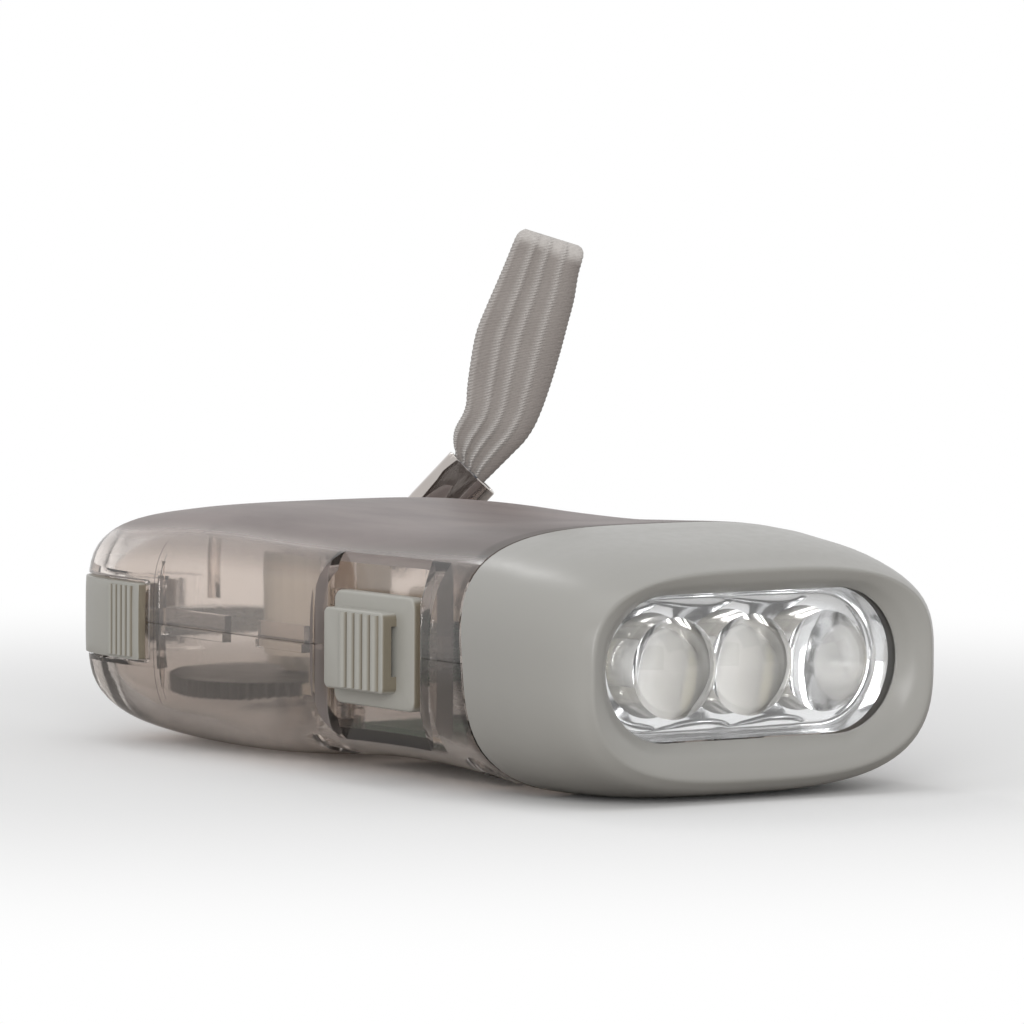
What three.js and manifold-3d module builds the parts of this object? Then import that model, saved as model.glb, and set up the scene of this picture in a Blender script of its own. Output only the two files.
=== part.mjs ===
// Squeeze dynamo torch: a smoky clear two-part housing with a hand lever on its far side,
// a gear train, a small generator, three lamps behind a clear lens, and a short wrist strap.
// X runs from the tail to the lamps, Y from the switch side to the lever side, Z up.
// The origin is the middle of the flat under the rear half, one of the two that the torch
// rests on. Lengths are millimetres.
import * as THREE from 'three';
import { mergeVertices } from 'three/addons/utils/BufferGeometryUtils.js';
import Module from 'manifold-3d';

const wasm = await Module();
wasm.setup();

// Driving dimensions of the housing
const bodyLength = 98;
const bodyWidth = 49.4;
const bodyHeight = 27.8;
const restFlatDepth = 0.3;
const shellWall = 1.6;
const headLength = 18.3;
const jointLeanShare = 0.12;
const pieceGap = 0.3;
const cutOverrun = 3;
const ringPoints = 28;
const weldDistance = 0.00001;

// Sections of the outside, from tail to bezel: shares of the length, of half the width,
// of half the height above and below the seam, and the power of the rounding
const outlineShares = [
  [0, 0.505, 0.425, 0.42, 4.3],
  [0.0041, 0.646, 0.535, 0.53, 4.3],
  [0.0143, 0.78, 0.638, 0.64, 4.3],
  [0.0306, 0.89, 0.726, 0.75, 4.3],
  [0.0561, 0.95, 0.785, 0.855, 4.2],
  [0.0918, 0.985, 0.82, 0.925, 4.1],
  [0.1327, 1, 0.855, 0.965, 4],
  [0.204, 1, 0.895, 1, 3.9],
  [0.3163, 1, 0.907, 1, 3.9],
  [0.4388, 1, 0.888, 0.943, 3.9],
  [0.5714, 1, 0.885, 0.9, 3.9],
  [0.6939, 1, 0.925, 0.93, 3.6],
  [0.8133, 0.998, 0.96, 1.015, 3.3],
  [0.857, 1, 0.93, 1.012, 3.25],
  [0.908, 0.99, 0.888, 0.998, 3.2],
  [0.954, 0.96, 0.825, 0.957, 3.1],
  [0.985, 0.915, 0.755, 0.91, 3.1],
  [1, 0.865, 0.72, 0.84, 3.1],
];
const restFlatShare = 0.26;

const tailX = -bodyLength / 2;
const frontX = bodyLength / 2;
const halfWidth = bodyWidth / 2;
const halfHeight = bodyHeight / 2;
const seamZ = halfHeight - restFlatDepth;
const headRearX = frontX - headLength;
const [, frontWide, frontUp, frontDown, frontPowerShare] = outlineShares.at(-1);

// Window, lens, reflector and lamps
const headWall = 1.8;
const bezelWall = 2;
const bezelSideMargin = 3.1655;
const bezelTopMargin = 2.508;
const windowHalfWidth = frontWide * halfWidth - bezelSideMargin;
const windowHalfHeight = frontUp * halfHeight - bezelTopMargin;
const bezelDish = 1.3;
const bezelRim = 0.8;
const lampPitch = 9.48;
const lampRadius = 2.5;
const lampRimRadius = 2.9;
const lampRimThickness = 1;
const lampLength = 8.4;
const lensThickness = 1.4;
const lensLip = 0.8;
const domeRadius = 5;
const domeRise = 2.3;
const domeSteps = 5;
const domeSides = 24;
const reflectorDepth = 10.5;
const reflectorFloor = 1;
const cupMouthRadius = 4.5;
const ledBoardThickness = 1.2;
const ledBoardHalfWidth = 17;
const ledBoardHalfHeight = 7;

// Hand lever on the far side, with its pin and return spring
const leverPivotX = 21;
const leverPivotInset = 8.7;
const leverPivotY = halfWidth - leverPivotInset;
const leverHalfHeight = 7.3;
const leverDepth = 9;
const leverTipInset = 14;
const leverTipX = tailX + leverTipInset;
const leverWall = 1.8;
const leverFlange = 1.6;
const leverEndRadius = 8.4;
const leverSlotEndX = 27.3;
const leverPinRadius = 1.5;
const leverBossRadius = 3.4;
const springWireRadius = 0.4;
const springCoilRadius = 3.6;
const springPitch = 1.2;
const springTurns = 4;
const springLegLength = 12;
const springSteps = 64;
const springPostRadius = 1.1;

// Gear train, from the lever's toothed arc to the rotor
const pressureDegrees = 25;
const addendumShare = 0.9;
const dedendumShare = 1.2;
const toothFillShare = 0.9;
const fineTeeth = 50;
const sectorModule = 0.75;
const sectorFullTeeth = 96;
const sectorTeeth = 9;
const sectorTeethBefore = 1;
const firstPinionTeeth = 12;
const firstWheelModule = 0.5;
const firstWheelTeeth = 52;
const secondPinionTeeth = 14;
const secondWheelModule = 0.35;
const secondWheelTeeth = 82;
const rotorPinionTeeth = 14;
const secondGearX = -27.8;
const secondGearY = -4.9;
const rotorX = -12.5;
const wheelThickness = 2;
const sectorThickness = 2.5;
const secondWheelLift = -8.45;
const firstWheelLift = -5.2;
const sectorLift = 0.5;
const sectorHubRadius = 2.7;
const sectorWebWidth = 5;
const gearHubRadius = 2.6;
const axleRadius = 0.8;
const axleBossRadius = 2.4;

// Generator round the rotor
const magnetRadius = 3;
const bobbinBore = 3.5;
const bobbinWall = 0.5;
const windingDepth = 1.6;
const canRadius = 6.8;
const canWall = 0.6;
const canLift = -2.5;
const canHeight = 10.5;

// Switch bay in the near wall, and its slider
const bayRearX = 3;
const bayLength = 19.7;
const bayHalfHeight = 10;
const bayDepth = 3;
const bayCorner = 4;
const sliderTravel = 2;
const sliderLength = 15;
const sliderHalfHeight = 5.9;
const sliderThickness = 1.6;
const sliderCorner = 1.2;
const thumbRearInset = 0.9;
const thumbLength = 10.7;
const thumbHalfHeight = 4.1;
const thumbRise = 1.4;
const thumbCorner = 0.6;
const ribWidth = 0.8;
const ribRise = 0.4;
const ribCount = 5;
const stemHalfWidth = 1.4;
const stemHalfHeight = 1.4;
const switchBodyLength = 11;
const switchBodyHalfHeight = 3.2;
const switchBodyDepth = 5;
const switchSlotDepth = 1.8;

// Lock slider wrapped round the tail corner, with its bar across the tail
const lockFrontInset = 20;
const lockFrontX = tailX + lockFrontInset;
const lockFrontGap = 0.9;
const lockHalfHeight = 4.1;
const lockNotchDepth = 1.3;
const lockProud = 0.6;
const lockSeatGap = 0.5;
const lockEndY = -9;
const lockTravel = 3;
const lockRibFrontInset = 2;
const lockBarHalfWidth = 1.5;
const lockBarInset = 13.4;
const lockBarFrontX = tailX + lockBarInset;
const lockBarLift = -2.2;
const lockBarThickness = 3;
const lockBarEndY = 15;
const lockPostRadius = 1.4;

// Strap stud, ferrule and strap at the far tail corner
const cornerRadius = 11;
const studDirectionDegrees = 146;
const studLift = 5.4;
const studRadius = 1.2;
const studHeadRadius = 2.4;
const studHeadThickness = 0.9;
const studReach = 13.4;
const studRoot = 6;
const studBossRadius = 2.8;
const clipRiseDegrees = 47;
const clipLength = 11.3;
const clipTubeStart = 3;
const clipHalfWidth = 3.4;
const clipHalfThickness = 2.1;
const clipWall = 0.5;
const clipEyeRadius = 2.7;
const clipEyeThickness = 1.2;
const ovalPowerShare = 2.6;
const clipPoints = 20;
const strapSeat = 5;
const strapGrip = 0.35;
const strapThickness = 2.6;
const strapRise = 26.4;
const strapHalfWidth = 4.7;
const strapEdgePowerShare = 5;
const strapFacePowerShare = 2.9;
const strapPoints = 12;

// Rows of the strap above the rim: shares of its rise across and up, and of its half width
const strapRowShares = [
  [0.015, 0.086, 0.68],
  [0.089, 0.189, 0.795],
  [0.131, 0.276, 0.9],
  [0.152, 0.376, 0.966],
  [0.178, 0.48, 1],
  [0.228, 0.667, 0.98],
  [0.284, 0.856, 0.936],
  [0.318, 0.96, 0.86],
  [0.339, 1, 0.7],
];

// Cell, circuit board and screws
const boardRearX = -4;
const boardFrontX = 22.5;
const boardNearY = -13.5;
const boardFarY = 4.5;
const boardThickness = 1.2;
const boardFloorGap = 1.9;
const boardLift = boardFloorGap + shellWall - halfHeight;
const boardPostRadius = 1.6;
const cellX = 8.5;
const cellY = -4.5;
const cellRadius = 7.7;
const cellHeight = 6;
const tabWidth = 4;
const tabThickness = 0.4;
const screwRadius = 0.9;
const screwHeadRadius = 1.7;
const screwHeadHeight = 1.2;
const screwHeadLift = -9.6;
const screwGrip = 5;
const screwBossRadius = 1.9;
const screwWellWall = 0.8;

// Near wall rib and lip of the housing
const ribInset = 22.1;
const ribX = tailX + ribInset;
const ribHalfWidth = 0.35;
const ribDepth = 0.4;
const ribHalfHeight = 8.6;
const slimPostInset = 23.3;
const slimPostX = tailX + slimPostInset;
const slimPostDepth = 5.7;
const slimPostY = slimPostDepth - halfWidth;
const slimPostRadius = 0.7;
const slimPostLift = 2.9;
const lipRise = 1.6;
const lipDepth = 1.2;
const lipThickness = 0.8;
const lipGapRearX = -14.1;
const lipGapFrontX = -8.3;

// Turns a closed geometry into a solid for cutting and joining
function solid(geometry) {
  const plain = geometry.clone();
  plain.deleteAttribute('normal');
  plain.deleteAttribute('uv');
  const merged = mergeVertices(plain, weldDistance);
  const vertProperties = new Float32Array(merged.attributes.position.array);
  const triVerts = new Uint32Array(merged.index.array);
  return new wasm.Manifold(new wasm.Mesh({ numProp: 3, vertProperties, triVerts }));
}

// Turns a solid back into a geometry with flat shading
function geometryOf(body) {
  const mesh = body.getMesh();
  const geometry = new THREE.BufferGeometry();
  geometry.setAttribute('position', new THREE.BufferAttribute(new Float32Array(mesh.vertProperties), 3));
  geometry.setIndex(new THREE.BufferAttribute(new Uint32Array(mesh.triVerts), 1));
  geometry.computeVertexNormals();
  return geometry;
}

const joined = (...bodies) => bodies.reduce((sum, body) => sum.add(body));

function block(x0, x1, y0, y1, z0, z1) {
  const geometry = new THREE.BoxGeometry(x1 - x0, y1 - y0, z1 - z0);
  geometry.translate((x0 + x1) / 2, (y0 + y1) / 2, (z0 + z1) / 2);
  return solid(geometry);
}

// A flat shape in X and Y, raised from z0 to z1
function plate(shape, z0, z1, curveSegments = 6) {
  const geometry = new THREE.ExtrudeGeometry(shape, { depth: z1 - z0, bevelEnabled: false, curveSegments });
  geometry.translate(0, 0, z0);
  return solid(geometry);
}

// A flat shape in X and Z, raised from y0 to y1
function wallPlate(shape, y0, y1, curveSegments = 6) {
  const geometry = new THREE.ExtrudeGeometry(shape, { depth: y1 - y0, bevelEnabled: false, curveSegments });
  geometry.rotateX(Math.PI / 2);
  geometry.translate(0, y1, 0);
  return solid(geometry);
}

function post(x, y, radius, z0, z1, sides = 12) {
  const geometry = new THREE.CylinderGeometry(radius, radius, z1 - z0, sides);
  geometry.rotateX(Math.PI / 2);
  geometry.translate(x, y, (z0 + z1) / 2);
  return solid(geometry);
}

function roundedShape(x0, x1, y0, y1, corner) {
  const shape = new THREE.Shape();
  shape.moveTo(x0 + corner, y0);
  shape.lineTo(x1 - corner, y0);
  shape.absarc(x1 - corner, y0 + corner, corner, -Math.PI / 2, 0);
  shape.lineTo(x1, y1 - corner);
  shape.absarc(x1 - corner, y1 - corner, corner, 0, Math.PI / 2);
  shape.lineTo(x0 + corner, y1);
  shape.absarc(x0 + corner, y1 - corner, corner, Math.PI / 2, Math.PI);
  shape.lineTo(x0, y0 + corner);
  shape.absarc(x0 + corner, y0 + corner, corner, Math.PI, Math.PI * 3 / 2);
  return shape;
}

// A power of a sine or cosine that keeps its sign
const curved = (value, power) => Math.sign(value) * Math.abs(value) ** (2 / power);

// Points of a rounded section in the plane of one X place, above and below the seam line
function ring(x, halfW, halfUp, halfDown, powerShare) {
  return Array.from({ length: ringPoints }, (_, i) => {
    const turn = (i / ringPoints) * Math.PI * 2;
    const high = Math.sin(turn) > 0 ? halfUp : halfDown;
    const z = seamZ + high * curved(Math.sin(turn), powerShare);
    return new THREE.Vector3(x, halfW * curved(Math.cos(turn), powerShare), z);
  });
}

// Points of a slot outline with round ends in the plane of one X place
function slotRing(x, halfW, halfH) {
  return Array.from({ length: ringPoints }, (_, i) => {
    const turn = (i / ringPoints) * Math.PI * 2;
    const endY = Math.sign(Math.cos(turn) + weldDistance) * (halfW - halfH);
    return new THREE.Vector3(x, endY + halfH * Math.cos(turn), seamZ + halfH * Math.sin(turn));
  });
}

// Skins a row of rings with equal point counts into one closed geometry
function loft(rings) {
  const count = rings[0].length;
  const position = rings.flat().flatMap((p) => [p.x, p.y, p.z]);
  const index = [];
  for (let r = 0; r + 1 < rings.length; r += 1) {
    for (let i = 0; i < count; i += 1) {
      const a = r * count + i;
      const b = r * count + ((i + 1) % count);
      index.push(a, a + count, b, b, a + count, b + count);
    }
  }
  for (const end of [0, rings.length - 1]) {
    const middle = new THREE.Vector3();
    rings[end].forEach((p) => middle.addScaledVector(p, 1 / count));
    const centre = position.length / 3;
    position.push(middle.x, middle.y, middle.z);
    for (let i = 0; i < count; i += 1) {
      const a = end * count + i;
      const b = end * count + ((i + 1) % count);
      index.push(...(end === 0 ? [a, b, centre] : [b, a, centre]));
    }
  }
  const geometry = new THREE.BufferGeometry();
  geometry.setAttribute('position', new THREE.Float32BufferAttribute(position, 3));
  geometry.setIndex(index);
  return geometry;
}

// A loft with its faces pointing out, whichever way its rings run
function loftSolid(rings) {
  const body = solid(loft(rings));
  return body.volume() > 0 ? body : solid(loft([...rings].reverse()));
}

// The outside of the whole torch, drawn in by inset on every side
function hull(inset) {
  return loftSolid(outlineShares.map(([along, wide, up, down, powerShare]) => {
    const x = tailX + along * bodyLength + inset * (1 - along);
    const sizes = [wide * halfWidth, up * halfHeight, down * halfHeight].map((size) => size - inset);
    return ring(x, ...sizes, powerShare);
  }));
}

// Half angle of a tooth of involute form at one radius
function toothHalfAngle(teeth, pitchRadius, radius) {
  const pressure = THREE.MathUtils.degToRad(pressureDegrees);
  const baseRadius = pitchRadius * Math.cos(pressure);
  const involute = (angle) => Math.tan(angle) - angle;
  const here = radius > baseRadius ? Math.acos(baseRadius / radius) : 0;
  return (Math.PI / (2 * teeth)) * toothFillShare + involute(pressure) - involute(here);
}

// Outline of one tooth, from its right root to its left root, round an angle
function toothOutline(teeth, module, angle) {
  const pitchRadius = (teeth * module) / 2;
  const root = pitchRadius - dedendumShare * module;
  const tip = pitchRadius + addendumShare * module;
  const radii = teeth > fineTeeth ? [root, tip] : [root, pitchRadius, tip];
  const right = radii.map((r) => [r, angle - toothHalfAngle(teeth, pitchRadius, r)]);
  const left = radii.map((r) => [r, angle + toothHalfAngle(teeth, pitchRadius, r)]).reverse();
  return [...right, ...left].map(([r, a]) => new THREE.Vector2(r * Math.cos(a), r * Math.sin(a)));
}

function gearShape(teeth, module, phase) {
  const outline = [];
  for (let i = 0; i < teeth; i += 1) {
    outline.push(...toothOutline(teeth, module, phase + (i * 2 * Math.PI) / teeth));
  }
  return new THREE.Shape(outline);
}

function gearWheel(x, y, teeth, module, phase, z0, z1) {
  return plate(gearShape(teeth, module, phase), z0, z1).translate([x, y, 0]);
}

// Phase of a gear that meshes with another one: a gap of it faces a tooth of the other
function meshingPhase(direction, otherPhase, otherTeeth, teeth) {
  const share = (direction - otherPhase) / ((2 * Math.PI) / otherTeeth);
  return direction + Math.PI + ((share - 0.5) * 2 * Math.PI) / teeth;
}

// The place that is one distance from a first point and another from a second one
function meetingPlace(x1, y1, distance1, x2, y2, distance2) {
  const span = Math.hypot(x2 - x1, y2 - y1);
  const along = (span ** 2 + distance1 ** 2 - distance2 ** 2) / (2 * span);
  const aside = Math.sqrt(distance1 ** 2 - along ** 2);
  const ux = (x2 - x1) / span;
  const uy = (y2 - y1) / span;
  return [x1 + along * ux - aside * uy, y1 + along * uy + aside * ux];
}

const material = (color, roughness, metalness = 0, opacity = 1) => (
  new THREE.MeshStandardMaterial({ color, roughness, metalness, opacity, transparent: opacity < 1 })
);
const smokyClear = material(0x8f837a, 0.25, 0, 0.55);
const headPlastic = material(0xa7a6a0, 0.45);
const sliderPlastic = material(0xabafa6, 0.4);
const clearPlastic = material(0xf2f4f5, 0.05, 0, 0.35);
const chrome = material(0xdfe1e3, 0.1, 1);
const steel = material(0xb9bcbf, 0.3, 1);
const darkPlastic = material(0x33363a, 0.5);
const nylon = material(0xe9e4d8, 0.5);
const copper = material(0xb5713c, 0.35, 1);
const magnetGrey = material(0x4a4a4c, 0.6);
const boardGreen = material(0x2f6b45, 0.5);
const webbing = material(0xb4aea8, 0.9);

const torch = new THREE.Group();
torch.position.x = -(tailX + restFlatShare * bodyLength);
function addPiece(name, body, finish) {
  const piece = new THREE.Mesh(geometryOf(body), finish);
  piece.name = name;
  torch.add(piece);
}

// Places that several pieces share
const outside = hull(0);
const wallMiddle = hull(shellWall / 2);
const cavity = hull(shellWall);
const nearInnerY = shellWall - halfWidth;
const bayFloorY = bayDepth - halfWidth;
const bayFrontX = bayRearX + bayLength;
const bayMiddleX = bayRearX + bayLength / 2;
const firstPinionRadius = (firstPinionTeeth * sectorModule) / 2;
const sectorRadius = (sectorFullTeeth * sectorModule) / 2;
const firstWheelRadius = (firstWheelTeeth * firstWheelModule) / 2;
const secondPinionRadius = (secondPinionTeeth * firstWheelModule) / 2;
const secondWheelRadius = (secondWheelTeeth * secondWheelModule) / 2;
const rotorPinionRadius = (rotorPinionTeeth * secondWheelModule) / 2;
const [firstGearX, firstGearY] = meetingPlace(
  secondGearX, secondGearY, firstWheelRadius + secondPinionRadius,
  leverPivotX, leverPivotY, sectorRadius + firstPinionRadius,
);
const rotorReach = secondWheelRadius + rotorPinionRadius;
const rotorY = secondGearY - Math.sqrt(rotorReach ** 2 - (rotorX - secondGearX) ** 2);
const axleBore = axleRadius + pieceGap;
const secondWheelZ = seamZ + secondWheelLift;
const firstWheelZ = seamZ + firstWheelLift;
const sectorZ = seamZ + sectorLift;
const firstGearTopZ = sectorZ + sectorThickness;
const secondGearTopZ = firstWheelZ + wheelThickness;
const canZ = seamZ + canLift;
const canTopZ = canZ + canHeight;
const boardZ = seamZ + boardLift;
const cornerX = tailX + cornerRadius;
const cornerY = halfWidth - cornerRadius;
const studTurn = THREE.MathUtils.degToRad(studDirectionDegrees);
const studZ = seamZ + studLift;
const floorZ = seamZ - halfHeight;
const ceilingZ = seamZ + halfHeight;
const springPostX = leverPivotX - springLegLength;
const springPostY = leverPivotY - springCoilRadius - springWireRadius - pieceGap - springPostRadius;
const lockBarRearX = lockBarFrontX - 2 * lockBarHalfWidth;
const lockPostY = lockBarEndY - lockPostRadius;
const screwWellRadius = screwHeadRadius + pieceGap + screwWellWall;
const screwHeadZ = seamZ + screwHeadLift;
const screwWellZ = screwHeadZ + screwHeadHeight + pieceGap + screwWellWall;
const screwPlaces = [
  [bayFrontX + shellWall + screwWellRadius, bayFloorY + shellWall + screwWellRadius],
  [bayFrontX + shellWall + screwWellRadius, leverPivotY - leverEndRadius - 2 * screwWellRadius],
  [tailX + shellWall + screwWellRadius + pieceGap, 2 * screwWellRadius],
  [bayRearX - shellWall - screwWellRadius - pieceGap, nearInnerY + 2 * screwWellRadius],
];

// Places something along the stud's direction, from the middle of the tail corner
function alongStud(geometry, reach) {
  geometry.rotateZ(studTurn - Math.PI / 2);
  geometry.translate(cornerX + Math.cos(studTurn) * reach, cornerY + Math.sin(studTurn) * reach, studZ);
  return solid(geometry);
}

function studCylinder(radius, from, to, sides = 12) {
  return alongStud(new THREE.CylinderGeometry(radius, radius, to - from, sides), (from + to) / 2);
}

// Everything that the two shells share: walls, bay, notch, slot and the posts inside
const baySize = [bayRearX, bayFrontX, seamZ - bayHalfHeight, seamZ + bayHalfHeight];
const bayHollow = wallPlate(roundedShape(...baySize, bayCorner), -halfWidth - cutOverrun, bayFloorY);
const bayLiner = wallPlate(
  roundedShape(
    bayRearX - shellWall, bayFrontX + shellWall,
    seamZ - bayHalfHeight - shellWall, seamZ + bayHalfHeight + shellWall,
    bayCorner + shellWall,
  ),
  -halfWidth - cutOverrun, bayFloorY + shellWall,
);
const bayStemSlot = block(
  bayMiddleX - stemHalfWidth - sliderTravel - pieceGap, bayMiddleX + stemHalfWidth + sliderTravel + pieceGap,
  bayFloorY - cutOverrun, bayFloorY + shellWall + cutOverrun,
  seamZ - stemHalfHeight - pieceGap, seamZ + stemHalfHeight + pieceGap,
);
const lockZone = (grow) => block(
  tailX - cutOverrun, lockFrontX + grow, -halfWidth - cutOverrun, lockEndY + grow,
  seamZ - lockHalfHeight - grow / 3, seamZ + lockHalfHeight + grow / 3,
);
const lockNotch = hull(-shellWall).subtract(hull(lockNotchDepth)).intersect(lockZone(lockFrontGap));
const lockLiner = hull(shellWall - pieceGap).subtract(hull(shellWall + lockNotchDepth)).intersect(
  lockZone(lockFrontGap + shellWall),
);
const lockStemX0 = lockBarRearX;
const lockStemX1 = lockBarFrontX;
const lockStemSlot = block(
  lockStemX0 - lockTravel - pieceGap, lockStemX1 + pieceGap,
  -halfWidth - cutOverrun, nearInnerY + shellWall + cutOverrun,
  seamZ + lockBarLift - pieceGap, seamZ + lockBarLift + lockBarThickness + pieceGap,
);
const leverSlot = block(
  leverTipX - 2 * pieceGap, leverSlotEndX, leverPivotY - leverDepth / 2, halfWidth + cutOverrun,
  seamZ - leverHalfHeight - pieceGap, seamZ + leverHalfHeight + pieceGap,
);
// Everything behind or before the leaning joint between housing and head, up to a far X place
const jointLean = jointLeanShare * (halfHeight + cutOverrun);
const jointZone = (gap, farX) => {
  const corners = [
    new THREE.Vector2(farX, floorZ - cutOverrun),
    new THREE.Vector2(headRearX + gap + jointLean, floorZ - cutOverrun),
    new THREE.Vector2(headRearX + gap - jointLean, ceilingZ + cutOverrun),
    new THREE.Vector2(farX, ceilingZ + cutOverrun),
  ];
  return wallPlate(new THREE.Shape(corners), -halfWidth - cutOverrun, halfWidth + cutOverrun);
};
const bodyZone = jointZone(-pieceGap / 2, tailX - cutOverrun);
const upperZone = block(
  tailX - cutOverrun, frontX + cutOverrun, -halfWidth - cutOverrun, halfWidth + cutOverrun,
  seamZ + pieceGap / 2, ceilingZ + cutOverrun,
);
const lowerZone = block(
  tailX - cutOverrun, frontX + cutOverrun, -halfWidth - cutOverrun, halfWidth + cutOverrun,
  0, seamZ - pieceGap / 2,
);
const wallRib = hull(shellWall - pieceGap).subtract(hull(shellWall + ribDepth)).intersect(block(
  ribX - ribHalfWidth, ribX + ribHalfWidth, -halfWidth, lockEndY,
  seamZ - ribHalfHeight, seamZ + ribHalfHeight,
));
const walls = joined(outside.subtract(cavity), wallRib, bayLiner.intersect(wallMiddle))
  .add(lockLiner)
  .subtract(bayHollow)
  .subtract(lockNotch);

// Posts of the lower shell, from its floor up
const lowerPosts = joined(
  post(leverPivotX, leverPivotY, leverBossRadius, floorZ, seamZ - leverHalfHeight - pieceGap),
  post(firstGearX, firstGearY, axleBossRadius, floorZ, secondWheelZ - pieceGap),
  post(secondGearX, secondGearY, axleBossRadius, floorZ, secondWheelZ - pieceGap),
  post(rotorX, rotorY, axleBossRadius, floorZ, secondWheelZ - pieceGap),
  post(springPostX, springPostY, springPostRadius, floorZ, seamZ),
  post(lockBarFrontX - lockBarHalfWidth, lockPostY, lockPostRadius, floorZ, seamZ + lockBarLift - pieceGap),
  ...[boardRearX, boardFrontX].map((x) => (
    post(
      x + (x < cellX ? boardPostRadius : -boardPostRadius), (boardNearY + boardFarY) / 2,
      boardPostRadius, floorZ, boardZ - pieceGap,
    )
  )),
  ...screwPlaces.map(([x, y]) => post(x, y, screwBossRadius, floorZ, seamZ)),
  ...screwPlaces.map(([x, y]) => post(x, y, screwWellRadius, floorZ, screwWellZ)),
);
const lowerBores = joined(
  post(leverPivotX, leverPivotY, leverPinRadius + pieceGap, seamZ - leverHalfHeight - leverBossRadius, seamZ),
  ...[[firstGearX, firstGearY], [secondGearX, secondGearY], [rotorX, rotorY]].map(([x, y]) => (
    post(x, y, axleBore, secondWheelZ - axleBossRadius, seamZ)
  )),
  ...screwPlaces.map(([x, y]) => post(x, y, screwRadius + pieceGap, floorZ - cutOverrun, seamZ)),
  ...screwPlaces.map(([x, y]) => (
    post(x, y, screwHeadRadius + pieceGap, floorZ - cutOverrun, screwHeadZ + screwHeadHeight + pieceGap)
  )),
);
const lipRearX = lockFrontX + lockFrontGap + shellWall + pieceGap;
const lipZone = (z0, z1) => joined(
  block(lipRearX, lipGapRearX, -halfWidth, nearInnerY + cutOverrun, z0, z1),
  block(lipGapFrontX, bayRearX - 2 * shellWall, -halfWidth, nearInnerY + cutOverrun, z0, z1),
);
const lipInside = hull(shellWall + pieceGap).subtract(hull(shellWall + pieceGap + lipThickness));
const lipRoot = hull(shellWall - pieceGap).subtract(hull(shellWall + pieceGap + lipThickness));
const lip = lipInside.intersect(lipZone(seamZ - lipDepth, seamZ + lipRise))
  .add(lipRoot.intersect(lipZone(seamZ - lipDepth, seamZ - pieceGap)));
const lowerShell = walls.add(lowerPosts.intersect(wallMiddle))
  .subtract(lowerBores)
  .intersect(lowerZone)
  .add(lip)
  .intersect(bodyZone)
  .subtract(leverSlot)
  .subtract(bayStemSlot)
  .subtract(lockStemSlot);
addPiece('lower_shell', lowerShell, smokyClear);

// Posts of the upper shell, from its ceiling down, and the boss of the strap stud
const upperPosts = joined(
  post(leverPivotX, leverPivotY, leverBossRadius, seamZ + leverHalfHeight + pieceGap, ceilingZ),
  post(firstGearX, firstGearY, axleBossRadius, firstGearTopZ + pieceGap, ceilingZ),
  post(secondGearX, secondGearY, axleBossRadius, secondGearTopZ + pieceGap, ceilingZ),
  post(rotorX, rotorY, axleBossRadius, canTopZ + pieceGap, ceilingZ),
  studCylinder(studBossRadius, studRoot - studRadius, cornerRadius),
  post(slimPostX, slimPostY, slimPostRadius, seamZ + slimPostLift, ceilingZ),
  ...screwPlaces.map(([x, y]) => post(x, y, screwBossRadius, seamZ, ceilingZ)),
);
const upperBores = joined(
  post(leverPivotX, leverPivotY, leverPinRadius + pieceGap, seamZ, seamZ + leverHalfHeight + leverBossRadius),
  post(firstGearX, firstGearY, axleBore, seamZ, firstGearTopZ + axleBossRadius),
  post(secondGearX, secondGearY, axleBore, seamZ - cutOverrun, secondGearTopZ + axleBossRadius),
  post(rotorX, rotorY, axleBore, seamZ, canTopZ + axleBossRadius),
  studCylinder(studRadius + pieceGap, studRoot - pieceGap, studReach),
  ...screwPlaces.map(([x, y]) => post(x, y, screwRadius + pieceGap, seamZ, seamZ + screwGrip + pieceGap)),
);
const upperShell = walls.add(upperPosts.intersect(wallMiddle))
  .subtract(upperBores)
  .intersect(upperZone)
  .intersect(bodyZone)
  .subtract(leverSlot)
  .subtract(bayStemSlot)
  .subtract(lockStemSlot);
addPiece('upper_shell', upperShell, smokyClear);

// Head cover with its flared oval window
const headZone = jointZone(pieceGap / 2, frontX + cutOverrun);
const headHollow = hull(headWall).intersect(block(
  tailX, frontX - bezelWall, -halfWidth, halfWidth, floorZ, ceilingZ,
));
const rimSize = [
  frontWide * halfWidth - bezelRim, frontUp * halfHeight - bezelRim, frontDown * halfHeight - bezelRim,
  frontPowerShare,
];
const windowCut = loftSolid([
  slotRing(frontX - bezelWall - cutOverrun, windowHalfWidth, windowHalfHeight),
  slotRing(frontX - bezelDish, windowHalfWidth, windowHalfHeight),
  ring(frontX, ...rimSize),
  ring(frontX + cutOverrun, ...rimSize),
]);
const restCut = block(
  tailX - cutOverrun, frontX + cutOverrun, -halfWidth - cutOverrun, halfWidth + cutOverrun,
  floorZ - cutOverrun, 0,
);
addPiece('head_cover', outside.intersect(headZone).subtract(headHollow).subtract(windowCut).subtract(restCut),
  headPlastic);

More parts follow.
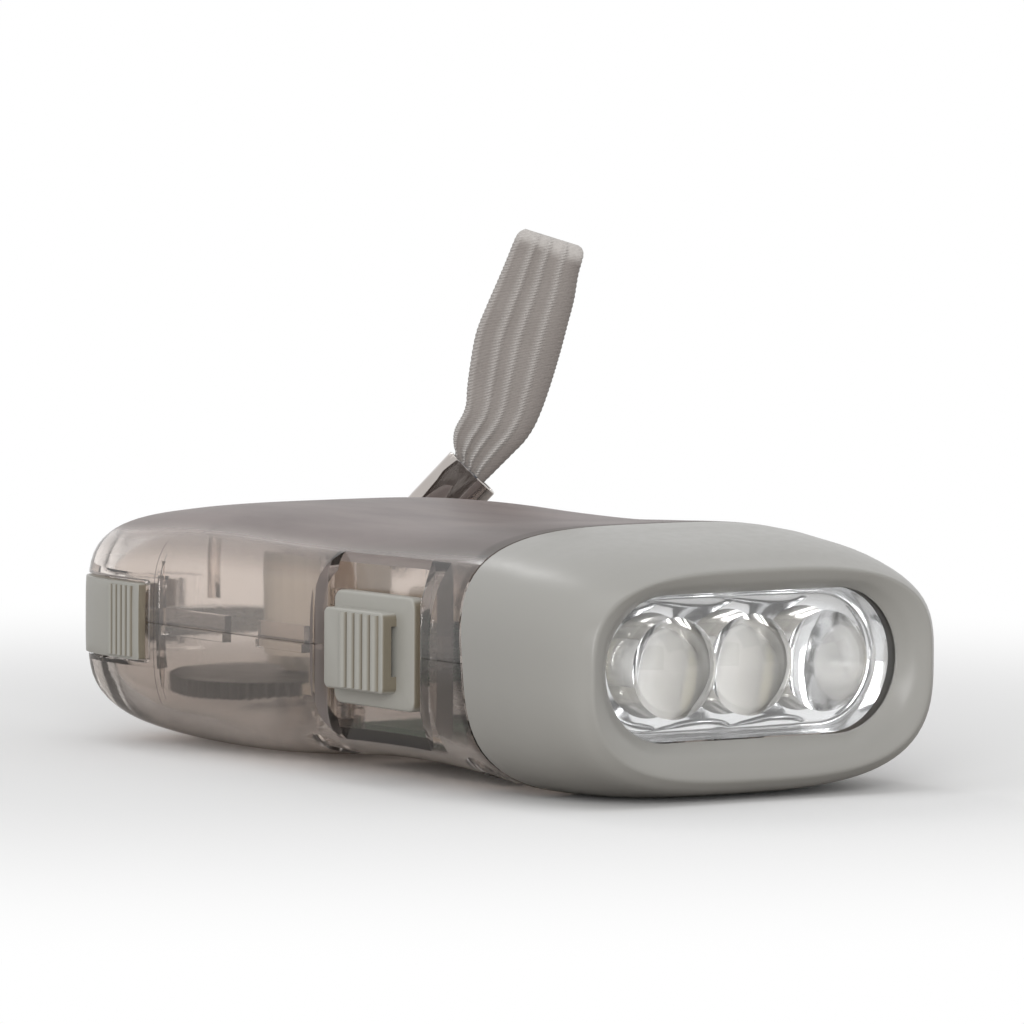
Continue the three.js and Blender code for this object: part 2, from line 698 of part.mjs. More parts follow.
// Clear lens with one round dome in front of each lamp
const lensFrontX = frontX - bezelWall - pieceGap;
const lensRearX = lensFrontX - lensThickness;
const lampYs = [-lampPitch, 0, lampPitch];
const domeSphere = (domeRadius ** 2 + domeRise ** 2) / (2 * domeRise);
const lensRing = (x) => slotRing(x, windowHalfWidth + lensLip, windowHalfHeight + lensLip);
const domes = lampYs.map((y) => {
  const foot = -lensThickness / 2;
  const profile = [new THREE.Vector2(0, foot), new THREE.Vector2(domeRadius, foot)];
  for (let i = 0; i < domeSteps; i += 1) {
    const radius = domeRadius * Math.cos((i / domeSteps) * (Math.PI / 2));
    profile.push(new THREE.Vector2(radius, domeRise - domeSphere + Math.sqrt(domeSphere ** 2 - radius ** 2)));
  }
  profile.push(new THREE.Vector2(0, domeRise));
  const geometry = new THREE.LatheGeometry(profile, domeSides);
  geometry.rotateZ(-Math.PI / 2);
  geometry.translate(lensFrontX, y, seamZ);
  return solid(geometry);
});
addPiece('lens', joined(loftSolid([lensRing(lensRearX), lensRing(lensFrontX)]), ...domes), clearPlastic);

// Chromed reflector with three cups, and the lamps standing in them
const reflectorFrontX = lensRearX - pieceGap;
const reflectorRearX = reflectorFrontX - reflectorDepth;
const reflectorRing = (x) => slotRing(x, windowHalfWidth, windowHalfHeight);
const lampHole = lampRadius + pieceGap;
const cups = lampYs.map((y) => {
  const profile = [
    new THREE.Vector2(0, -cutOverrun),
    new THREE.Vector2(lampHole, -cutOverrun),
    new THREE.Vector2(lampHole, reflectorFloor),
    new THREE.Vector2((lampHole + cupMouthRadius) / 2, reflectorFloor + reflectorDepth / 6),
    new THREE.Vector2(cupMouthRadius - pieceGap, reflectorFloor + reflectorDepth / 2),
    new THREE.Vector2(cupMouthRadius, reflectorDepth),
    new THREE.Vector2(cupMouthRadius, reflectorDepth + cutOverrun),
    new THREE.Vector2(0, reflectorDepth + cutOverrun),
  ];
  const geometry = new THREE.LatheGeometry(profile, 18);
  geometry.rotateZ(-Math.PI / 2);
  geometry.translate(reflectorRearX, y, seamZ);
  return solid(geometry);
});
const reflector = cups.reduce(
  (body, cup) => body.subtract(cup),
  loftSolid([reflectorRing(reflectorRearX), reflectorRing(reflectorFrontX)]),
);
addPiece('reflector', reflector, chrome);
lampYs.forEach((y, i) => {
  const profile = [
    new THREE.Vector2(0, 0),
    new THREE.Vector2(lampRimRadius, 0),
    new THREE.Vector2(lampRimRadius, lampRimThickness),
    new THREE.Vector2(lampRadius, lampRimThickness),
    new THREE.Vector2(lampRadius, lampLength - lampRadius),
    ...[Math.PI / 6, Math.PI / 3].map((turn) => (
      new THREE.Vector2(lampRadius * Math.cos(turn), lampLength - lampRadius * (1 - Math.sin(turn)))
    )),
    new THREE.Vector2(0, lampLength),
  ];
  const geometry = new THREE.LatheGeometry(profile, 12);
  geometry.rotateZ(-Math.PI / 2);
  geometry.translate(reflectorRearX - pieceGap - lampRimThickness, y, seamZ);
  addPiece(`lamp_${i + 1}`, solid(geometry), clearPlastic);
});
const ledBoardFrontX = reflectorRearX - lampRimThickness - 2 * pieceGap;
addPiece('lamp_board', block(
  ledBoardFrontX - ledBoardThickness, ledBoardFrontX, -ledBoardHalfWidth, ledBoardHalfWidth,
  seamZ - ledBoardHalfHeight, seamZ + ledBoardHalfHeight,
), boardGreen);

// Hand lever: a channel that fills the slot in the far wall and turns on its pin
const leverZone = block(
  leverTipX, leverPivotX, halfWidth - leverDepth, halfWidth + cutOverrun,
  seamZ - leverHalfHeight, seamZ + leverHalfHeight,
);
const leverEnd = post(
  leverPivotX, leverPivotY, leverEndRadius, seamZ - leverHalfHeight, seamZ + leverHalfHeight, 32,
);
const leverHollow = block(
  leverTipX + leverWall, leverPivotX + leverEndRadius + cutOverrun,
  leverPivotY - leverEndRadius - cutOverrun, halfWidth - leverWall,
  seamZ - leverHalfHeight + leverFlange, seamZ + leverHalfHeight - leverFlange,
);
const leverBore = post(leverPivotX, leverPivotY, leverPinRadius + pieceGap, floorZ, ceilingZ);
addPiece('squeeze_lever', leverZone.intersect(outside).add(leverEnd.intersect(outside))
  .subtract(leverHollow)
  .subtract(leverBore), smokyClear);
addPiece('lever_pin', post(
  leverPivotX, leverPivotY, leverPinRadius,
  seamZ - leverHalfHeight - leverBossRadius + pieceGap, seamZ + leverHalfHeight + leverBossRadius - pieceGap,
), steel);

// Toothed arc on the lever's hub; its first teeth mesh with the first pinion at rest
const sectorDirection = Math.atan2(firstGearY - leverPivotY, firstGearX - leverPivotX);
const sectorStep = (2 * Math.PI) / sectorFullTeeth;
const sectorRoot = sectorRadius - dedendumShare * sectorModule;
const sectorOutline = [];
for (let i = -sectorTeethBefore; i <= sectorTeeth; i += 1) {
  sectorOutline.push(...toothOutline(sectorFullTeeth, sectorModule, sectorDirection + i * sectorStep));
}
const sectorFirstAngle = sectorDirection - (sectorTeethBefore + 0.5) * sectorStep;
const sectorLastAngle = sectorDirection + (sectorTeeth + 0.5) * sectorStep;
const sectorInner = sectorRoot - sectorWebWidth;
for (let i = 0; i <= 6; i += 1) {
  const angle = sectorLastAngle + ((sectorFirstAngle - sectorLastAngle) * i) / 6;
  sectorOutline.push(new THREE.Vector2(sectorInner * Math.cos(angle), sectorInner * Math.sin(angle)));
}
const armSpread = sectorHubRadius * 0.8;
const sectorArm = (angle) => {
  const arm = new THREE.Shape([
    new THREE.Vector2(0, -armSpread),
    new THREE.Vector2(sectorInner + sectorWebWidth / 2, -armSpread),
    new THREE.Vector2(sectorInner + sectorWebWidth / 2, armSpread),
    new THREE.Vector2(0, armSpread),
  ]);
  return plate(arm, sectorZ, firstGearTopZ).rotate([0, 0, THREE.MathUtils.radToDeg(angle)]);
};
const armInset = (armSpread * 1.4) / sectorInner;
const sector = joined(
  plate(new THREE.Shape(sectorOutline), sectorZ, firstGearTopZ),
  sectorArm(sectorFirstAngle + armInset),
  sectorArm(sectorLastAngle - armInset),
).translate([leverPivotX, leverPivotY, 0]);
const hubZ0 = seamZ - leverHalfHeight + leverFlange + pieceGap;
const hubZ1 = seamZ + leverHalfHeight - leverFlange - pieceGap;
addPiece('sector_gear', sector.add(post(leverPivotX, leverPivotY, sectorHubRadius, hubZ0, hubZ1))
  .subtract(leverBore), nylon);

// Return spring round the hub: one leg on the lever's wall, one against a post
class SpringPath extends THREE.Curve {
  getPoint(t, target = new THREE.Vector3()) {
    const turn = (2 * springTurns + 1) * Math.PI;
    const coil = springCoilRadius * turn;
    const place = t * (coil + 2 * springLegLength);
    const low = hubZ0 + springWireRadius;
    const top = low + springTurns * springPitch;
    if (place < springLegLength) {
      return target.set(place - springLegLength, springCoilRadius, low);
    }
    if (place > springLegLength + coil) {
      return target.set(springLegLength + coil - place, -springCoilRadius, top);
    }
    const share = (place - springLegLength) / coil;
    const angle = Math.PI / 2 - share * turn;
    target.set(Math.cos(angle), Math.sin(angle), 0).multiplyScalar(springCoilRadius);
    return target.setZ(low + share * (top - low));
  }
}
const wireShape = new THREE.Shape();
wireShape.absarc(0, 0, springWireRadius, 0, Math.PI * 2);
const springGeometry = new THREE.ExtrudeGeometry(wireShape, {
  steps: springSteps, extrudePath: new SpringPath(), curveSegments: 3,
});
springGeometry.translate(leverPivotX, leverPivotY, 0);
addPiece('return_spring', solid(springGeometry), steel);

// First gear: small pinion above, driven by the arc, and a wheel below
const firstPinionPhase = meshingPhase(sectorDirection, sectorDirection, sectorFullTeeth, firstPinionTeeth);
addPiece('first_gear', joined(
  gearWheel(firstGearX, firstGearY, firstPinionTeeth, sectorModule, firstPinionPhase, sectorZ, firstGearTopZ),
  gearWheel(firstGearX, firstGearY, firstWheelTeeth, firstWheelModule, 0, firstWheelZ, secondGearTopZ),
  post(firstGearX, firstGearY, gearHubRadius, firstWheelZ, firstGearTopZ),
).subtract(post(firstGearX, firstGearY, axleBore, floorZ, ceilingZ)), nylon);

// Second gear: its pinion under the first wheel's rim, and the large dark wheel seen through the wall
const secondDirection = Math.atan2(secondGearY - firstGearY, secondGearX - firstGearX);
const secondPinionPhase = meshingPhase(secondDirection, 0, firstWheelTeeth, secondPinionTeeth);
const secondWheelTopZ = secondWheelZ + wheelThickness;
const secondBore = post(secondGearX, secondGearY, axleBore, floorZ, ceilingZ);
addPiece('second_wheel', gearWheel(
  secondGearX, secondGearY, secondWheelTeeth, secondWheelModule, 0, secondWheelZ, secondWheelTopZ,
).subtract(secondBore), darkPlastic);
addPiece('second_pinion', joined(
  gearWheel(secondGearX, secondGearY, secondPinionTeeth, firstWheelModule, secondPinionPhase,
    firstWheelZ, secondGearTopZ),
  post(secondGearX, secondGearY, gearHubRadius, secondWheelTopZ + pieceGap, secondGearTopZ),
).subtract(secondBore), nylon);

// Rotor: a pinion on the large wheel, and a ring magnet above it
const rotorDirection = Math.atan2(rotorY - secondGearY, rotorX - secondGearX);
const rotorPhase = meshingPhase(rotorDirection, 0, secondWheelTeeth, rotorPinionTeeth);
const rotorBore = post(rotorX, rotorY, axleBore, floorZ, ceilingZ);
const rotorShaftRadius = rotorPinionRadius - dedendumShare * secondWheelModule;
const magnetZ = canZ + pieceGap;
addPiece('rotor_pinion', joined(
  gearWheel(rotorX, rotorY, rotorPinionTeeth, secondWheelModule, rotorPhase, secondWheelZ, secondWheelTopZ),
  post(rotorX, rotorY, rotorShaftRadius, secondWheelZ, magnetZ - pieceGap),
).subtract(rotorBore), nylon);
const magnetTopZ = canTopZ - canWall - bobbinWall - pieceGap;
addPiece('ring_magnet', post(rotorX, rotorY, magnetRadius, magnetZ, magnetTopZ, 20).subtract(rotorBore),
  magnetGrey);

// Generator can, bobbin and winding round the magnet
const bobbinZ = canZ + pieceGap;
const bobbinTopZ = canTopZ - canWall - pieceGap;
const bobbinRadius = bobbinBore + bobbinWall + windingDepth + pieceGap;
const windingZ = bobbinZ + bobbinWall + pieceGap;
const windingTopZ = bobbinTopZ - bobbinWall - pieceGap;
addPiece('generator_can', post(rotorX, rotorY, canRadius, canZ, canTopZ, 28)
  .subtract(post(rotorX, rotorY, canRadius - canWall, canZ - cutOverrun, canTopZ - canWall, 28))
  .subtract(rotorBore), nylon);
addPiece('coil_bobbin', post(rotorX, rotorY, bobbinRadius, bobbinZ, bobbinTopZ, 24)
  .subtract(post(rotorX, rotorY, bobbinRadius + cutOverrun, bobbinZ + bobbinWall, bobbinTopZ - bobbinWall, 24)
    .subtract(post(rotorX, rotorY, bobbinBore + bobbinWall, bobbinZ, bobbinTopZ, 24)))
  .subtract(post(rotorX, rotorY, bobbinBore, bobbinZ - cutOverrun, bobbinTopZ + cutOverrun, 24)), nylon);
addPiece('coil_winding', post(rotorX, rotorY, bobbinRadius - pieceGap, windingZ, windingTopZ, 24)
  .subtract(post(rotorX, rotorY, bobbinBore + bobbinWall + pieceGap, floorZ, ceilingZ, 24)), copper);

// Axles, each held in a post of both shells
const axleFootZ = secondWheelZ - axleBossRadius + pieceGap;
const axle = (x, y, topZ) => post(x, y, axleRadius, axleFootZ, topZ + axleBossRadius - pieceGap, 12);
addPiece('first_axle', axle(firstGearX, firstGearY, firstGearTopZ), steel);
addPiece('second_axle', axle(secondGearX, secondGearY, secondGearTopZ), steel);
addPiece('rotor_axle', axle(rotorX, rotorY, canTopZ), steel);

// Light switch slider: a plate in the bay with a ribbed thumb pad and a stem through the floor
const sliderRearX = bayMiddleX - sliderLength / 2;
const sliderInnerY = bayFloorY - pieceGap;
const sliderOuterY = sliderInnerY - sliderThickness;
const thumbRearX = sliderRearX + thumbRearInset;
const thumbFrontX = thumbRearX + thumbLength;
const switchSlotY = bayFloorY + shellWall + pieceGap;
const sliderPlate = wallPlate(roundedShape(
  sliderRearX, sliderRearX + sliderLength, seamZ - sliderHalfHeight, seamZ + sliderHalfHeight, sliderCorner,
), sliderOuterY, sliderInnerY, 3);
const thumbPad = wallPlate(roundedShape(
  thumbRearX, thumbFrontX, seamZ - thumbHalfHeight, seamZ + thumbHalfHeight, thumbCorner,
), sliderOuterY - thumbRise, sliderOuterY, 3);
const ribPitch = thumbLength / (2 * ribCount);
const thumbRibs = Array.from({ length: ribCount }, (_, i) => {
  const x = (thumbRearX + thumbFrontX) / 2 + (i - (ribCount - 1) / 2) * ribPitch;
  return block(
    x - ribWidth / 2, x + ribWidth / 2, sliderOuterY - thumbRise - ribRise, sliderOuterY - thumbRise / 2,
    seamZ - thumbHalfHeight, seamZ + thumbHalfHeight,
  );
});
const stem = block(
  bayMiddleX - stemHalfWidth, bayMiddleX + stemHalfWidth, sliderOuterY + sliderThickness / 2,
  switchSlotY + switchSlotDepth - pieceGap, seamZ - stemHalfHeight, seamZ + stemHalfHeight,
);
addPiece('switch_slider', joined(sliderPlate, thumbPad, stem, ...thumbRibs), sliderPlastic);
const switchSlot = block(
  bayMiddleX - stemHalfWidth - sliderTravel - pieceGap, bayMiddleX + stemHalfWidth + sliderTravel + pieceGap,
  switchSlotY - cutOverrun, switchSlotY + switchSlotDepth,
  seamZ - stemHalfHeight - pieceGap, seamZ + stemHalfHeight + pieceGap,
);
addPiece('switch_body', block(
  bayMiddleX - switchBodyLength / 2, bayMiddleX + switchBodyLength / 2,
  switchSlotY, switchSlotY + switchBodyDepth,
  seamZ - switchBodyHalfHeight, seamZ + switchBodyHalfHeight,
).subtract(switchSlot), steel);

// Lock slider: a ribbed pad round the tail corner, and its bar across the tail to the lever's tip
const lockPad = hull(-lockProud).translate([lockProud, 0, 0])
  .subtract(hull(lockNotchDepth - lockSeatGap))
  .intersect(lockZone(0));
const lockRibs = Array.from({ length: ribCount }, (_, i) => {
  const x = lockFrontX - lockRibFrontInset - i * ribPitch;
  return hull(-lockProud - ribRise).subtract(hull(0)).intersect(block(
    x - ribWidth / 2, x + ribWidth / 2, -halfWidth - cutOverrun, 0,
    seamZ - lockHalfHeight, seamZ + lockHalfHeight,
  ));
});
const lockBarZ = seamZ + lockBarLift;
const lockStem = block(
  lockStemX0, lockStemX1, -halfWidth + lockNotchDepth / 2, nearInnerY + 3 * shellWall,
  lockBarZ, lockBarZ + lockBarThickness,
);
addPiece('lock_slider', joined(lockPad, lockStem, ...lockRibs), sliderPlastic);
addPiece('lock_bar', block(
  lockBarRearX, lockBarFrontX, nearInnerY + 3 * shellWall + pieceGap, lockBarEndY,
  lockBarZ, lockBarZ + lockBarThickness,
), steel);

// Strap stud: a rivet in the far tail corner
const studTip = studReach + clipEyeThickness / 2 + pieceGap;
addPiece('strap_stud', alongStud(new THREE.LatheGeometry([
  new THREE.Vector2(0, studRoot),
  new THREE.Vector2(studRadius, studRoot),
  new THREE.Vector2(studRadius, studTip),
  new THREE.Vector2(studHeadRadius, studTip),
  new THREE.Vector2(studHeadRadius * 0.9, studTip + studHeadThickness),
  new THREE.Vector2(0, studTip + studHeadThickness),
], 16), 0), steel);

// Frame of the ferrule: along its length, across its face, and out from the corner
const clipRise = THREE.MathUtils.degToRad(clipRiseDegrees);
const outward = new THREE.Vector3(Math.cos(studTurn), Math.sin(studTurn), 0);
const aside = new THREE.Vector3(-outward.y, outward.x, 0).negate();
const studCentre = new THREE.Vector3(cornerX, cornerY, studZ).addScaledVector(outward, studReach);
const clipAxis = aside.clone().multiplyScalar(Math.cos(clipRise)).setZ(Math.sin(clipRise));
const clipAcross = new THREE.Vector3().crossVectors(outward, clipAxis);
const clipFrame = new THREE.Matrix4().makeBasis(clipAcross, outward, clipAxis).setPosition(studCentre);

// A closed oval section in the ferrule's frame, at one height along it
function clipRing(height, halfW, halfT, points = clipPoints) {
  return Array.from({ length: points }, (_, i) => {
    const turn = (i / points) * Math.PI * 2;
    const across = halfW * curved(Math.cos(turn), ovalPowerShare);
    const out = halfT * curved(Math.sin(turn), ovalPowerShare);
    return new THREE.Vector3(across, out, height).applyMatrix4(clipFrame);
  });
}
const clipInnerWidth = clipHalfWidth - clipWall;
const clipInnerThickness = clipHalfThickness - clipWall;
const clipTube = loftSolid([
  clipRing(clipTubeStart, clipHalfWidth, clipHalfThickness),
  clipRing(clipLength, clipHalfWidth, clipHalfThickness),
]);
const clipBore = loftSolid([
  clipRing(clipTubeStart + clipWall * 2, clipInnerWidth, clipInnerThickness),
  clipRing(clipLength + cutOverrun, clipInnerWidth, clipInnerThickness),
]);
const eyeShape = new THREE.Shape();
eyeShape.moveTo(clipEyeRadius, 0);
eyeShape.lineTo(clipEyeRadius, clipTubeStart + clipWall);
eyeShape.lineTo(-clipEyeRadius, clipTubeStart + clipWall);
eyeShape.lineTo(-clipEyeRadius, 0);
eyeShape.absarc(0, 0, clipEyeRadius, Math.PI, Math.PI * 2);
const eyeHole = new THREE.Path();
eyeHole.absarc(0, 0, studRadius + pieceGap, 0, Math.PI * 2);
eyeShape.holes.push(eyeHole);
const eyeGeometry = new THREE.ExtrudeGeometry(eyeShape, {
  depth: clipEyeThickness, bevelEnabled: false, curveSegments: 8,
});
eyeGeometry.translate(0, 0, -clipEyeThickness / 2);
eyeGeometry.rotateX(Math.PI / 2);
eyeGeometry.applyMatrix4(clipFrame);
addPiece('strap_ferrule', clipTube.subtract(clipBore).add(solid(eyeGeometry)), chrome);

// Wrist strap: doubled webbing gripped in the ferrule, rising from its rim
const rim = studCentre.clone().addScaledVector(clipAxis, clipLength);
const strapMiddles = strapRowShares.map(([across, up]) => (
  rim.clone().addScaledVector(aside, across * strapRise).setZ(rim.z + up * strapRise)
));
const strapHalfRing = [clipInnerWidth - strapGrip, clipInnerThickness - strapGrip];
const strapRings = [
  clipRing(clipLength - strapSeat, ...strapHalfRing, strapPoints),
  clipRing(clipLength + strapGrip, ...strapHalfRing, strapPoints),
];
strapMiddles.forEach((middle, i) => {
  const before = i === 0 ? rim : strapMiddles[i - 1];
  const after = strapMiddles[Math.min(i + 1, strapMiddles.length - 1)];
  const along = after.clone().sub(before).normalize();
  const across = new THREE.Vector3().crossVectors(outward, along).normalize();
  const [, , wide] = strapRowShares[i];
  strapRings.push(Array.from({ length: strapPoints }, (_, k) => {
    const turn = (k / strapPoints) * Math.PI * 2;
    return middle.clone()
      .addScaledVector(across, wide * strapHalfWidth * curved(Math.cos(turn), strapEdgePowerShare))
      .addScaledVector(outward, (strapThickness / 2) * curved(Math.sin(turn), strapFacePowerShare));
  }));
});
addPiece('wrist_strap', loftSolid(strapRings), webbing);

// Circuit board on its posts, with the cell and its two contact tabs
addPiece('circuit_board', block(
  boardRearX, boardFrontX, boardNearY, boardFarY, boardZ, boardZ + boardThickness,
), boardGreen);
const cellZ = boardZ + boardThickness + tabThickness + 2 * pieceGap;
addPiece('cell', post(cellX, cellY, cellRadius, cellZ, cellZ + cellHeight, 28), steel);
addPiece('lower_contact', block(
  cellX - tabWidth / 2, cellX + tabWidth / 2, cellY - cellRadius, cellY + cellRadius,
  boardZ + boardThickness + pieceGap, cellZ - pieceGap,
), chrome);
const upperContactZ = cellZ + cellHeight + pieceGap;
const contactFrontX = cellX + cellRadius + 2 * pieceGap;
addPiece('upper_contact', block(
  cellX - tabWidth / 2, contactFrontX + tabThickness, cellY - tabWidth / 2, cellY + tabWidth / 2,
  upperContactZ, upperContactZ + tabThickness,
).add(block(
  contactFrontX, contactFrontX + tabThickness, cellY - tabWidth / 2, cellY + tabWidth / 2,
  boardZ + boardThickness + pieceGap, upperContactZ + tabThickness,
)), chrome);

// Four screws, driven up from the underside
screwPlaces.forEach(([x, y], i) => {
  const slot = block(
    x - screwHeadRadius, x + screwHeadRadius, y - screwRadius / 3, y + screwRadius / 3,
    screwHeadZ - cutOverrun, screwHeadZ + screwHeadHeight / 2,
  );
  addPiece(`case_screw_${i + 1}`, post(x, y, screwHeadRadius, screwHeadZ, screwHeadZ + screwHeadHeight, 12)
    .add(post(x, y, screwRadius, screwHeadZ, seamZ + screwGrip, 10))
    .subtract(slot), steel);
});

export default torch;
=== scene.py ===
import math

import bpy
import numpy as np
from mathutils import Matrix, Vector


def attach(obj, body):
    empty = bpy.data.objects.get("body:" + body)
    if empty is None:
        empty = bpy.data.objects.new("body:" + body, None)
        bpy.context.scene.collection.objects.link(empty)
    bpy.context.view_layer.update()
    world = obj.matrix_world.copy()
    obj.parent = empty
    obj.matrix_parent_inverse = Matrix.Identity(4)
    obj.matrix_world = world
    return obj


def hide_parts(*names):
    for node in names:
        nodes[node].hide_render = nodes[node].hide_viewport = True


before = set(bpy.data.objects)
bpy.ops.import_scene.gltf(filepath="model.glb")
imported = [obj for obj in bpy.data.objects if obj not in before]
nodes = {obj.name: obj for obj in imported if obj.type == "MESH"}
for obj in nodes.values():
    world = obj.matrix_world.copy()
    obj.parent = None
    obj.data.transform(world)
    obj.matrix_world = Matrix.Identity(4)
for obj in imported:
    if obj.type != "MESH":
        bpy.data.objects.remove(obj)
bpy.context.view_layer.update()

# Housing shells
# Two halves moulded from smoky clear plastic, about 1.6 mm thick, which meet along a line
# round the middle and are held by four screws from below. Both are cut from one swelling
# outline, with a bay and a notch for the sliders and a slot for the lever.

# A length with mm beside it is in metres here and further down, and a bare one in millimetres
mm = 0.001
seam = 13.6
seam_z = seam * mm
tail_x = -25.48 * mm
body_length = 98 * mm
body_half_width = 24.7 * mm
body_half_height = 13.9 * mm
joint_x = 54.22 * mm
joint_lean = 0.12
joint_room = 0.15 * mm
around = 128

# Sections from tail to bezel: place along the length, then shares of the half width and of
# the half height above and below the seam, and the power of the rounding
sections = np.array([
    [0, 0.505, 0.425, 0.42, 4.3],
    [0.0041, 0.646, 0.535, 0.53, 4.3],
    [0.0143, 0.78, 0.638, 0.64, 4.3],
    [0.0306, 0.89, 0.726, 0.75, 4.3],
    [0.0561, 0.95, 0.785, 0.855, 4.2],
    [0.0918, 0.985, 0.82, 0.925, 4.1],
    [0.1327, 1, 0.855, 0.965, 4],
    [0.204, 1, 0.895, 1, 3.9],
    [0.3163, 1, 0.907, 1, 3.9],
    [0.4388, 1, 0.888, 0.943, 3.9],
    [0.5714, 1, 0.885, 0.9, 3.9],
    [0.6939, 1, 0.925, 0.93, 3.6],
    [0.8133, 0.998, 0.96, 1.015, 3.3],
    [0.857, 1, 0.93, 1.012, 3.25],
    [0.908, 0.99, 0.888, 0.998, 3.2],
    [0.954, 0.96, 0.825, 0.957, 3.1],
    [0.985, 0.915, 0.755, 0.91, 3.1],
    [1, 0.865, 0.72, 0.84, 3.1],
])


def smooth_rows(rows, between):
    """The rows with more rows between them, on a smooth curve through all of them."""
    out, last = [], len(rows) - 1
    for i in range(last):
        a, b, c, d = (rows[min(max(k, 0), last)] for k in (i - 1, i, i + 1, i + 2))
        before, here, after = (max(np.linalg.norm((q - p)[:3]), 1e-6) ** 0.5
                               for p, q in ((a, b), (b, c), (c, d)))
        leave = arrive = c - b
        if i > 0:
            leave = ((b - a) / before - (c - a) / (before + here) + (c - b) / here) * here
        if i < last - 1:
            arrive = ((c - b) / here - (d - b) / (here + after) + (d - c) / after) * here
        for k in range(between):
            t = k / between
            out.append((2 * t ** 3 - 3 * t ** 2 + 1) * b + (t ** 3 - 2 * t ** 2 + t) * leave
                       + (3 * t ** 2 - 2 * t ** 3) * c + (t ** 3 - t ** 2) * arrive)
    return np.array(out + [rows[-1]])


outline = smooth_rows(sections, 4)


def even_steps(line, columns, count):
    """Columns given at the points of a line, read again at even steps along it."""
    gone = np.concatenate([[0], np.cumsum(np.hypot(*np.diff(line, axis=0).T))])
    steps = np.linspace(0, gone[-1], count)
    return steps, np.column_stack([np.interp(steps, gone, column) for column in columns.T])


def quarter(wide, high, power):
    """A quarter of a rounded section, from its side to its top, in even steps."""
    turn = np.linspace(0, math.pi / 2, 400)
    line = np.column_stack([wide * np.cos(turn) ** (2 / power), high * np.sin(turn) ** (2 / power)])
    return even_steps(line, line, around // 4 + 1)[1]


def round_four(x, upper, lower):
    """A closed ring in one X plane from a quarter above the seam and one below it."""
    mirror = np.array([-1, 1])
    points = np.concatenate([
        upper[:-1], (upper * mirror)[::-1][:-1], (lower * -1)[:-1], (lower * -mirror)[::-1][:-1],
    ])
    return np.column_stack([np.full(len(points), x), points[:, 0], seam_z + points[:, 1]])


def outline_ring(x, wide, up, down, power, inset=0):
    """Points round the torch at one place, from a row's shares, drawn in by inset."""
    side = wide * body_half_width - inset
    return round_four(x, quarter(side, up * body_half_height - inset, power),
                      quarter(side, down * body_half_height - inset, power))


def only(*pieces):
    """Selects these pieces alone, the first one active."""
    bpy.ops.object.select_all(action="DESELECT")
    for piece in pieces:
        piece.select_set(True)
    bpy.context.view_layer.objects.active = pieces[0]


def open_up(piece, action="SELECT"):
    """Starts to edit a piece, with all of its mesh selected, or none of it."""
    only(piece)
    bpy.ops.object.mode_set(mode="EDIT")
    bpy.ops.mesh.select_all(action=action)


def close_up():
    """Ends the editing of a piece."""
    bpy.ops.object.mode_set(mode="OBJECT")


def skin(name, rings, ends=bpy.ops.mesh.edge_face_add):
    """A grid laid through rings of points and joined round, with its open edges closed."""
    rings = np.array(rings)
    along, count = rings.shape[:2]
    bpy.ops.object.select_all(action="DESELECT")
    bpy.ops.mesh.primitive_grid_add(x_subdivisions=count, y_subdivisions=along - 1, size=1)
    piece = bpy.context.object
    piece.name = name
    wrapped = np.concatenate([rings, rings[:, :1]], axis=1)
    piece.data.vertices.foreach_set("co", wrapped.reshape(-1))
    open_up(piece)
    bpy.ops.mesh.remove_doubles(threshold=1e-7)
    bpy.ops.mesh.select_all(action="DESELECT")
    bpy.ops.mesh.select_mode(type="EDGE")
    bpy.ops.mesh.select_non_manifold()
    ends()
    bpy.ops.mesh.select_mode(type="FACE")
    bpy.ops.mesh.select_all(action="SELECT")
    bpy.ops.mesh.normals_make_consistent(inside=False)
    close_up()
    return piece


def hull(name, inset):
    """The outline of the whole torch, drawn in by inset on every side."""
    return skin(name, [
        outline_ring(tail_x + along * body_length + inset * (1 - along), *shape, inset)
        for along, *shape in outline
    ])


def block(name, x0, x1, y0, y1, z0, z1, corner=0):
    """A box between two corners, in millimetres, with the edges along Y rounded."""
    bpy.ops.object.select_all(action="DESELECT")
    bpy.ops.mesh.primitive_cube_add(
        size=1, location=((x0 + x1) / 2 * mm, (y0 + y1) / 2 * mm, (z0 + z1) / 2 * mm))
    piece = bpy.context.object
    piece.name = name
    piece.scale = ((x1 - x0) * mm, (y1 - y0) * mm, (z1 - z0) * mm)
    bpy.ops.object.transform_apply(location=True, rotation=True, scale=True)
    if corner:
        open_up(piece, "DESELECT")
        close_up()
        verts = piece.data.vertices
        for edge in piece.data.edges:
            a, b = verts[edge.vertices[0]].co, verts[edge.vertices[1]].co
            edge.select = abs((a - b).normalized().y) > 0.9
        bpy.ops.object.mode_set(mode="EDIT")
        bpy.ops.mesh.select_mode(type="EDGE")
        bpy.ops.mesh.bevel(offset=corner * mm, segments=8, affect="EDGES")
        close_up()
    return piece


def pin(name, x, y, radius, z0, z1, sides=32):
    """An upright round bar, in millimetres."""
    bpy.ops.object.select_all(action="DESELECT")
    bpy.ops.mesh.primitive_cylinder_add(vertices=sides, radius=radius * mm, depth=(z1 - z0) * mm,
                                        location=(x * mm, y * mm, (z0 + z1) / 2 * mm))
    piece = bpy.context.object
    piece.name = name
    bpy.ops.object.transform_apply(location=True, rotation=True, scale=True)
    return piece


def combine(piece, tool, how, keep=False):
    """Cuts piece with tool, joins the two, or keeps what they share."""
    step = piece.modifiers.new("step", "BOOLEAN")
    step.operation = how
    step.solver = "MANIFOLD"
    step.object = tool
    only(piece)
    bpy.ops.object.modifier_apply(modifier=step.name)
    if not keep:
        bpy.data.objects.remove(tool)
    return piece


def add(piece, tool):
    """Joins a tool to a piece."""
    return combine(piece, tool, "UNION")


